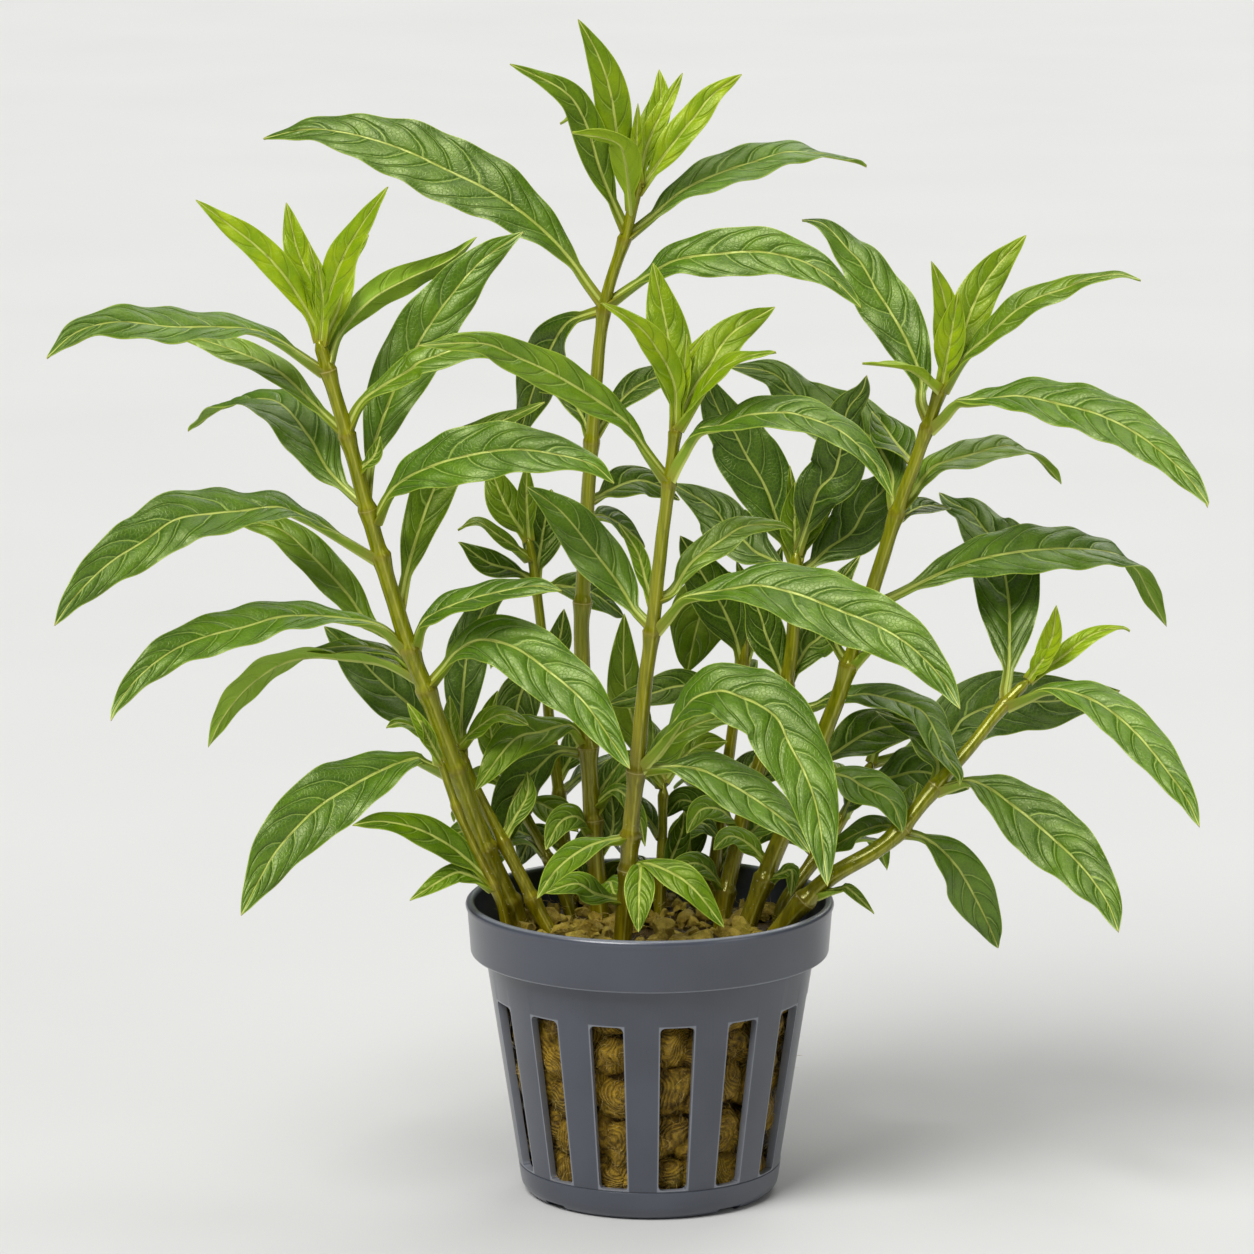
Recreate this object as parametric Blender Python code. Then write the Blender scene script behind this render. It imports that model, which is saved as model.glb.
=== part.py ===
"""A potted temple plant of the siamensis form: long-leaved stems rooted in rock wool in a slotted net pot.

Lengths are in millimetres and are turned into metres where a mesh is made. The origin is the centre
of the pot's underside, +Z is up and -Y is the front. Leaves and stems were read off the front view, so
their points are given as (x, z) on the upright plane through the origin, seen from EYE, and each
trace has its own depths, from the back (+) to the front (-).
"""

import math

import bmesh
import bpy
from mathutils import Vector

MM = 0.001
GAP = 0.3
EYE = Vector((-3.4, -946.0, 269.6))

# Pot
RIM_HEIGHT = 44.5
RIM_RADIUS = 27.5
LIP_WIDTH = 1.4
BAND_BOTTOM = 36.5
BAND_BOTTOM_RADIUS = 26.7
BODY_TOP_RADIUS = 24.5
FOOT_HEIGHT = 4.5
FOOT_TOP_RADIUS = 19.7
FOOT_RADIUS = 19.4
BASE_RADIUS = 17.3
WALL = 1.2
FLOOR = 1.6
SLOTS = 14
SLOT_HALF_ANGLE = 6.0
SLOT_TOP = 30.5
FIRST_SLOT_ANGLE = 9.8

# Rock wool
WOOL_TOP = 40.4
WOOL_LUMP = 1.1
WOOL_SIDES = 18
ROOT_HEIGHT = 35.0

# Leaves and stems
STEM_SIDES = 6
NODE_SWELLING = 1.22
NODE_LENGTH = 1.5
FOOT_LENGTH = 5.0
STEM_STEP = 17.0
LEAF_RINGS = (0.07, 0.22, 0.42, 0.64, 0.85)
SMALL_LEAF_RINGS = (0.1, 0.3, 0.54, 0.8)
TINY_LEAF_WIDTH = 6.0
TINY_LEAF_RINGS = (0.16, 0.46, 0.78)
TINIEST_LEAF_WIDTH = 4.55
TINIEST_LEAF_RINGS = (0.26, 0.66)
PETIOLE_WIDTH = 1.5
BLADE_START = 0.07
LEAF_THICKNESS = (1.1, 0.8, 0.35)

# Each stem: diameters at the wool and at the top, seen heights of its nodes, and its line as
# (x, z, depth) from the roots to the shoot tip.
STEMS = {
    "stem_left": (3, 1.9, (43.9, 52.2, 64.2, 76.2, 82.4, 96.4, 103.4, 114.4, 124.1), [
        (-18, 36, -3), (-20.7, 43.5, -3.5), (-24.5, 52.2, -5), (-28.8, 64.2, -7), (-33.2, 76.2, -9),
        (-35.6, 82.4, -10), (-39.8, 96.4, -12), (-44.6, 114.4, -14), (-48.7, 128.9, -15)]),
    "stem_left_thin": (1.5, 1.1, (46.4, 58.4), [
        (-21, 36, -9), (-22.3, 44, -10), (-26.2, 52.4, -11.5), (-28.8, 58.4, -12.5),
        (-31.3, 65.9, -13.5)]),
    "stem_low_left": (2.2, 1.4, (44.4, 52.9, 65.4), [
        (-13, 36, -6), (-15.8, 41, -5.5), (-19.5, 48.4, -4.5), (-22, 53.4, -3.5), (-26, 61.4, -1.5),
        (-29, 68.4, 0)]),
    "stem_low_back_left": (1.9, 1.3, (50.4, 57.9), [
        (-10, 36, 7), (-12.5, 44, 8.5), (-15.5, 51.4, 10.5), (-19, 57.9, 13), (-20.6, 61.4, 14.5)]),
    "stem_middle": (1.9, 1.2, (47.4, 59.9), [
        (1.3, 36, 7), (1.6, 47, 9.5), (1.9, 55.4, 12), (2, 62.4, 14)]),
    "stem_tall": (2.8, 1.5, (56.4, 67.4, 89.4, 113.4, 132.9, 143.4), [
        (-7, 36, 4), (-8.5, 56, 5), (-9.1, 66.4, 5.5), (-10.1, 82.4, 6), (-9.7, 95.4, 6),
        (-8.6, 113.4, 5), (-6.8, 132.9, 4), (-3.8, 143.4, 3), (-1.5, 152.4, 2)]),
    "stem_front": (2.7, 1.6, (48.9, 54.1, 63.9, 84.9, 107.2, 115.4), [
        (-4.3, 36, -13), (-3.2, 48.5, -14.5), (-2.9, 54.1, -15), (-2, 63.9, -16.5), (-0.8, 76.4, -18),
        (0.3, 84.9, -19), (1.6, 97.4, -21), (2.8, 107.2, -22), (3.9, 116.4, -23)]),
    "stem_back_right": (2.6, 1.8, (45.4, 72.9, 76.7, 94.4), [
        (10.3, 36, 2), (11.3, 45, 4), (13, 52.4, 6), (14, 57.4, 7), (16.5, 65.4, 9.5), (19.5, 73.9, 12),
        (20.2, 76.7, 12.5), (21.2, 84.7, 14), (21.6, 97.4, 15)]),
    "stem_back_left": (2, 1.3, (60.4, 78.4, 92.4), [
        (-11, 36, 12), (-13, 56, 17), (-15, 72.4, 20), (-15.5, 80.4, 21.5), (-17, 92.9, 23),
        (-18, 99.4, 24)]),
    "stem_back": (2.3, 1.3, (58.4, 74.4, 79.9), [
        (8, 36, 15), (10, 52, 18), (11.5, 64.4, 21), (13, 75.4, 23), (13.8, 79.9, 24), (14.2, 87.4, 25)]),
    "stem_right": (2.9, 1.7, (47.4, 63.6, 79.9, 87.9, 102.7, 115.6, 121.2), [
        (13, 36, -3), (16.2, 45, -2), (19.8, 54.4, -1), (23.8, 64.2, 0), (25.6, 68.9, 0.5),
        (28.5, 76.9, 1), (31.9, 87.9, 1), (35.2, 98.9, 0), (36.4, 102.9, 0), (39.2, 110.9, -1),
        (40.8, 115.6, -1.5), (43.1, 122.4, -2)]),
    "stem_low_right": (3, 1.5, (44.2, 55.3, 61.4, 74), [
        (17.5, 37.2, -7), (22, 42.9, -8.5), (26.9, 47.7, -9), (33.4, 51.6, -8), (37.5, 55.2, -6.5),
        (42.2, 61.2, -4.5), (47.3, 67.2, -2), (52.6, 74, 0), (56.3, 77.8, 1)]),
    "stem_side_back": (2.3, 1.6, (51.4, 60.9), [
        (19, 37, 4), (20, 43.5, 5), (25.3, 51.4, 9), (28.5, 56.4, 12), (31, 60.9, 15), (33, 65.4, 17)]),
}

# Each full-grown leaf: its stem, width, depths at the middle and the tip, how far its upper face is
# turned at the base, middle and tip (0 faces the front, 90 faces up, 180 faces the back), and its
# midrib from the node to the tip.
LEAVES = {
    "leaf_left_01": ("stem_left", 8.2, (-20, -30), (75, 62, 55), [
        (-48, 123.7), (-56.2, 129.4), (-63.1, 130.4), (-70, 130.5), (-78, 131.2), (-84, 129.8),
        (-88.6, 126)]),
    "leaf_left_02": ("stem_left", 4.6, (-5, 6), (160, 170, 170), [
        (-46, 124.4), (-45.6, 129.7), (-40.9, 134.7), (-35.6, 137.7), (-29.6, 140.4), (-25.5, 143.8)]),
    "leaf_left_03": ("stem_left", 4.9, (-10, -6), (60, 50, 50), [
        (-45.3, 114.2), (-50.1, 119.6), (-54.6, 123.9), (-60, 126.6), (-71.3, 130.5)]),
    "leaf_left_04": ("stem_left", 5.6, (-16.5, -17), (60, 45, 45), [
        (-43.3, 114.9), (-42.6, 119.1), (-39.9, 121.3), (-35.4, 124), (-33, 125.6), (-23.8, 127.9),
        (-14, 123.5)]),
    "leaf_left_05": ("stem_left", 9.5, (-2, 9), (60, 60, 125), [
        (-43, 103.4), (-47.4, 109.1), (-50.1, 114), (-54.5, 119.2), (-60, 119.7), (-63.4, 118.5),
        (-68, 115.3)]),
    "leaf_left_06": ("stem_left", 9, (-21, -27), (60, 35, 35), [
        (-42.8, 100.9), (-38, 106.2), (-33, 109.4), (-27.2, 111.3), (-20, 112.3), (-13.5, 111.5),
        (-8.6, 110.1), (-5.3, 107.3)]),
    "leaf_left_07": ("stem_left", 9.2, (-6, -1), (40, 30, 30), [
        (-40.9, 104.4), (-41.2, 110.5), (-39.7, 115.7), (-36.9, 122.7), (-33.4, 129.1), (-29.4, 134.9),
        (-24.8, 140.2), (-18.6, 144.6)]),
    "leaf_left_08": ("stem_left", 10.1, (-20, -34), (95, 50, 25), [
        (-41, 95.9), (-47.4, 100.4), (-51.2, 102.3), (-55.1, 103.6), (-60, 103.1), (-64.6, 102.7),
        (-70, 101.8), (-74.7, 98.6), (-80, 95.2), (-84.9, 90.4), (-88.1, 86)]),
    "leaf_left_09": ("stem_left", 7.6, (-19, -30), (80, 50, 40), [
        (-36.5, 81.9), (-39.8, 85.8), (-45, 86.9), (-50, 87.3), (-55, 87.1), (-59.9, 85.7),
        (-65.1, 84.4), (-70.5, 82.2), (-75.5, 78.4), (-79, 73.9), (-80, 71.6)]),
    "leaf_left_10": ("stem_left", 6, (-6, -1), (50, 40, 40), [
        (-36.5, 82.9), (-41.6, 86.2), (-45, 90.9), (-50, 96.4), (-54.9, 100.5), (-62.6, 102.3)]),
    "leaf_left_11": ("stem_left", 6.7, (-15, -19), (70, 60, 55), [
        (-35.5, 81.9), (-33.5, 86.4), (-28, 89.4), (-21.7, 91.1), (-17, 91.8), (-13.1, 91.2)]),
    "leaf_left_12": ("stem_left", 6, (-4, 5), (80, 125, 140), [
        (-34.5, 77.9), (-37.1, 79.8), (-40, 80.9), (-45, 81.4), (-50, 81.6), (-54.9, 80.3),
        (-59.8, 76.7), (-63.3, 72.3), (-65.6, 67.7)]),
    "leaf_left_13": ("stem_left", 9.2, (-18, -28), (60, 30, 20), [
        (-31.8, 76.4), (-30.8, 79.3), (-28.6, 81.9), (-25, 83.7), (-19.9, 82.5), (-15.1, 79.1),
        (-10, 74.6), (-5.7, 68.5), (-3, 64.3)]),
    "leaf_left_14": ("stem_low_left", 8.7, (4, 8), (40, 35, 35), [
        (-28.6, 65.7), (-32.3, 70.1), (-34.4, 72.7), (-40.1, 77.8), (-42.6, 80.4), (-48.2, 85.8)]),
    "leaf_left_15": ("stem_left", 10.1, (-17, -28), (85, 30, 25), [
        (-29.7, 62.9), (-33.6, 65.3), (-34.9, 65.7), (-39.5, 64.1), (-44.3, 61.6), (-49.8, 58),
        (-55.1, 52.4), (-57.9, 47.9), (-61, 41.9)]),
    "leaf_left_16": ("stem_low_left", 6.4, (3, 6), (50, 40, 40), [
        (-28, 65.7), (-28, 71.4), (-27.5, 78.4), (-26.7, 83.4), (-24.2, 88.9), (-20, 92.4)]),
    "leaf_tall_01": ("stem_tall", 7.9, (9, 18), (60, 60, 110), [
        (-3.2, 143.6), (0.2, 146.7), (4.8, 150.6), (10, 153.1), (15.1, 154.8), (20, 156.3), (25, 156),
        (29.8, 155.1), (31.6, 154.4)]),
    "leaf_tall_02": ("stem_tall", 10.4, (11, 20), (50, 35, 45), [
        (-8, 133.4), (-9.3, 137), (-11.5, 140.2), (-15.1, 144.2), (-20, 148.3), (-24.6, 151.2),
        (-30, 153.8), (-35, 156.2), (-40, 158), (-45, 159.2), (-50, 159.6), (-56.5, 158.3)]),
    "leaf_tall_03": ("stem_tall", 7.8, (-1, -8), (70, 35, 35), [
        (-5.5, 133.9), (-2.4, 136.8), (0.4, 138.5), (4.4, 140.5), (10, 141.3), (16, 141.6),
        (22.1, 140.3), (26.9, 137.5), (30.5, 133.9), (30.9, 133.4)]),
    "leaf_tall_04": ("stem_tall", 5.1, (4, 2), (60, 45, 45), [
        (-8, 56.4), (-6, 60.8), (-2.6, 64.2), (1, 65.4), (4.5, 69.6), (9.8, 71.8), (15, 71.6)]),
    "leaf_front_01": ("stem_front", 5.9, (-27, -33), (70, 35, 35), [
        (2, 107.6), (-0.2, 111.6), (-2.8, 115.4), (-4.7, 117.3), (-9.8, 120.9), (-14.7, 123.8),
        (-19.7, 126.1), (-24.8, 128.1), (-34, 127.8)]),
    "leaf_front_02": ("stem_front", 6.7, (-30, -38), (100, 55, 45), [
        (3.7, 107.7), (4.6, 111.5), (6.9, 115), (10.3, 115.8), (13.3, 117.1), (16.2, 117.6),
        (20.6, 117.7), (25, 116.4), (28.1, 115), (31.1, 112.5), (33.4, 109.8), (34.9, 107),
        (35.8, 105.1)]),
    "leaf_front_03": ("stem_front", 7.6, (-12, -9), (50, 35, 35), [
        (-1, 85.4), (-2.4, 88.4), (-4.7, 92.2), (-9.4, 98.5), (-13.3, 103.2), (-18.2, 106.8)]),
    "leaf_front_04": ("stem_front", 10.3, (-28, -42), (95, 35, 25), [
        (0.8, 84.9), (2.2, 87.2), (4.4, 89.8), (7.2, 90.6), (10.3, 91), (13.2, 91.5), (16.2, 91.9),
        (21.9, 90.6), (27.7, 88.3), (33.8, 85.8), (38.8, 82.6), (43.2, 78), (46, 73.4)]),
    "leaf_front_05": ("stem_front", 4.7, (-17, -14), (60, 45, 45), [
        (1.5, 89.7), (3.4, 91.1), (6.1, 95.3), (10.3, 98.6), (14, 100.8), (19, 101), (21, 100.2)]),
    "leaf_front_06": ("stem_front", 10.5, (-28, -42), (95, 35, 15), [
        (-0.5, 63.9), (2, 68.9), (5, 72.9), (6.9, 75), (10.5, 76), (13.9, 74.9), (16.1, 73.9),
        (18.9, 71.8), (20.8, 67.8), (23.1, 63.4), (25, 57.4), (26.5, 46.4)]),
    "leaf_front_07": ("stem_front", 7.8, (-21, -29), (80, 40, 30), [
        (-0.7, 64.2), (3, 64.5), (7, 64.1), (9.8, 63), (14.9, 60.1), (20.3, 56), (23.8, 51.5)]),
    "leaf_back_right_01": ("stem_back_right", 9.5, (17, 18), (40, 25, 25), [
        (20.5, 94.4), (18.6, 102.1), (17.4, 105.7), (16, 108.5), (14, 111.7), (12.5, 114.7),
        (10.4, 117.5), (7.5, 124.1)]),
    "leaf_back_right_02": ("stem_back_right", 7.6, (22, 27), (50, 30, 30), [
        (20.3, 92.9), (18.4, 95.5), (15.5, 97), (13.5, 99), (11.3, 100.8), (9.2, 103.6), (3.2, 107.3)]),
    "leaf_back_right_03": ("stem_back_right", 8.7, (18, 20), (50, 30, 30), [
        (22, 93.4), (24.1, 95.3), (26.4, 97.5), (29.8, 100), (31.8, 103.6), (34.5, 106.3), (37.6, 110.5)]),
    "leaf_back_right_04": ("stem_back_right", 8.2, (10.5, 7), (30, 20, 20), [
        (21.7, 96.4), (23.2, 101.3), (24.7, 106), (27.1, 108.8), (28.1, 112.8), (28.9, 117.9),
        (31.1, 121), (31.8, 123.3)]),
    "leaf_back_right_05": ("stem_back_right", 6.1, (4, -13), (70, 60, 50), [
        (20.5, 72.7), (24.2, 73.8), (26.3, 74.7), (29.9, 75.2), (32, 75.5), (34.8, 75), (38.2, 74),
        (40.8, 72.5), (42.6, 69.3), (43.9, 66.3), (45.9, 63.5), (46.1, 61.8)]),
    "leaf_right_01": ("stem_right", 4.9, (-7, -10), (70, 50, 60), [
        (43.4, 120.7), (45.9, 125.7), (48.8, 128.4), (51.4, 130.9), (54.1, 133.3), (57.1, 135),
        (60.2, 136), (63.1, 137.2), (65.9, 138), (68.8, 138.3), (71.9, 137.5)]),
    "leaf_right_02": ("stem_right", 8, (7, 14), (40, 30, 60), [
        (39.5, 116.2), (39.8, 119.4), (39.8, 122.5), (39, 125.3), (37.1, 129.5), (35, 133.1),
        (33, 136.2), (30.9, 139.9), (28.9, 142), (26.9, 144.3), (24.9, 145.9), (22.2, 146.4)]),
    "leaf_right_03": ("stem_right", 8.7, (-12, -28), (100, 45, 30), [
        (41.5, 115.1), (43, 117.4), (44.9, 119.5), (47, 119.6), (50.1, 119.8), (54.5, 120.2),
        (60.2, 119), (66.2, 117.4), (72, 114.4), (77.9, 109.6), (81.8, 104.9), (82.2, 103.8)]),
    "leaf_right_04": ("stem_right", 9.4, (18, 26), (40, 30, 35), [
        (35, 102.2), (35.6, 105.5), (35.5, 109), (32.4, 114), (27.6, 116.9), (22.1, 119.7), (19, 123),
        (16.1, 124.2), (11.6, 124.6)]),
    "leaf_right_05": ("stem_right", 6.3, (8, 18), (60, 60, 130), [
        (36.8, 102.6), (38.6, 105.4), (40.4, 108.1), (42.3, 110), (46.9, 111.4), (50.7, 112.5),
        (53, 112.8), (56.8, 111.6), (59.2, 109.2), (60.6, 107.4)]),
    "leaf_right_06": ("stem_right", 9, (10, 26), (60, 45, 150), [
        (32.3, 88.3), (34.6, 89.6), (36.9, 90.7), (40.2, 92.4), (46.2, 95.1), (52, 96.6), (57.8, 97.3),
        (63.8, 97.4), (68.8, 96.7), (71.9, 94.7), (73.8, 91), (76.4, 86)]),
    "leaf_right_07": ("stem_right", 6.6, (-6, -11), (80, 50, 40), [
        (24.8, 63.6), (29, 63), (31.8, 61.4), (35.6, 59.5), (37.2, 56.2), (37.6, 54.5)]),
    "leaf_low_right_01": ("stem_low_right", 10.1, (13, 30), (50, 25, 50), [
        (52.3, 74.2), (52.7, 76), (53, 78.2), (53.2, 80.5), (53.2, 83.5), (53.2, 86.5), (53.1, 89.3),
        (52.5, 93.4), (52.1, 97.6), (49.5, 100.2), (47.3, 102.9), (44.4, 104.4), (42.6, 105.9)]),
    "leaf_low_right_02": ("stem_low_right", 7, (-11, -26), (100, 40, 25), [
        (53, 73.9), (55.6, 75.2), (58.6, 76.3), (62.5, 75.8), (67.4, 73.6), (72.4, 69.4), (76.8, 64),
        (79.9, 59.6), (81.8, 55.5)]),
    "leaf_low_right_03": ("stem_low_right", 9.7, (-14, -28), (90, 30, 25), [
        (43.1, 60.9), (44.8, 61.9), (47.2, 62.4), (50, 61.4), (53.2, 59.2), (56.6, 56.6), (60, 53.6),
        (63.2, 50.6), (66, 47.3), (68.4, 43.6), (70, 39.4)]),
    "leaf_low_right_04": ("stem_low_right", 7.4, (-3, 2), (60, 30, 25), [
        (37.9, 54.6), (40, 54), (41.8, 53), (43.6, 51.6), (46.1, 48.8), (48.2, 45.2), (50.2, 41.2),
        (52.1, 36.8)]),
    "leaf_side_back_01": ("stem_side_back", 10.8, (23, 29), (50, 35, 35), [
        (33, 64.9), (36.3, 65.9), (40.4, 67.1), (44.6, 69.3), (46.4, 71.7), (49.9, 73.5), (54.2, 74.3),
        (57.1, 74.4), (60.9, 74.6), (69.7, 76.1)]),
    "leaf_side_back_02": ("stem_side_back", 8, (14, 13), (50, 25, 25), [
        (31.5, 61.2), (33.6, 62.3), (36.1, 62.9), (39, 63.7), (41.8, 63.5), (47.5, 61.2)]),
}

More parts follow.
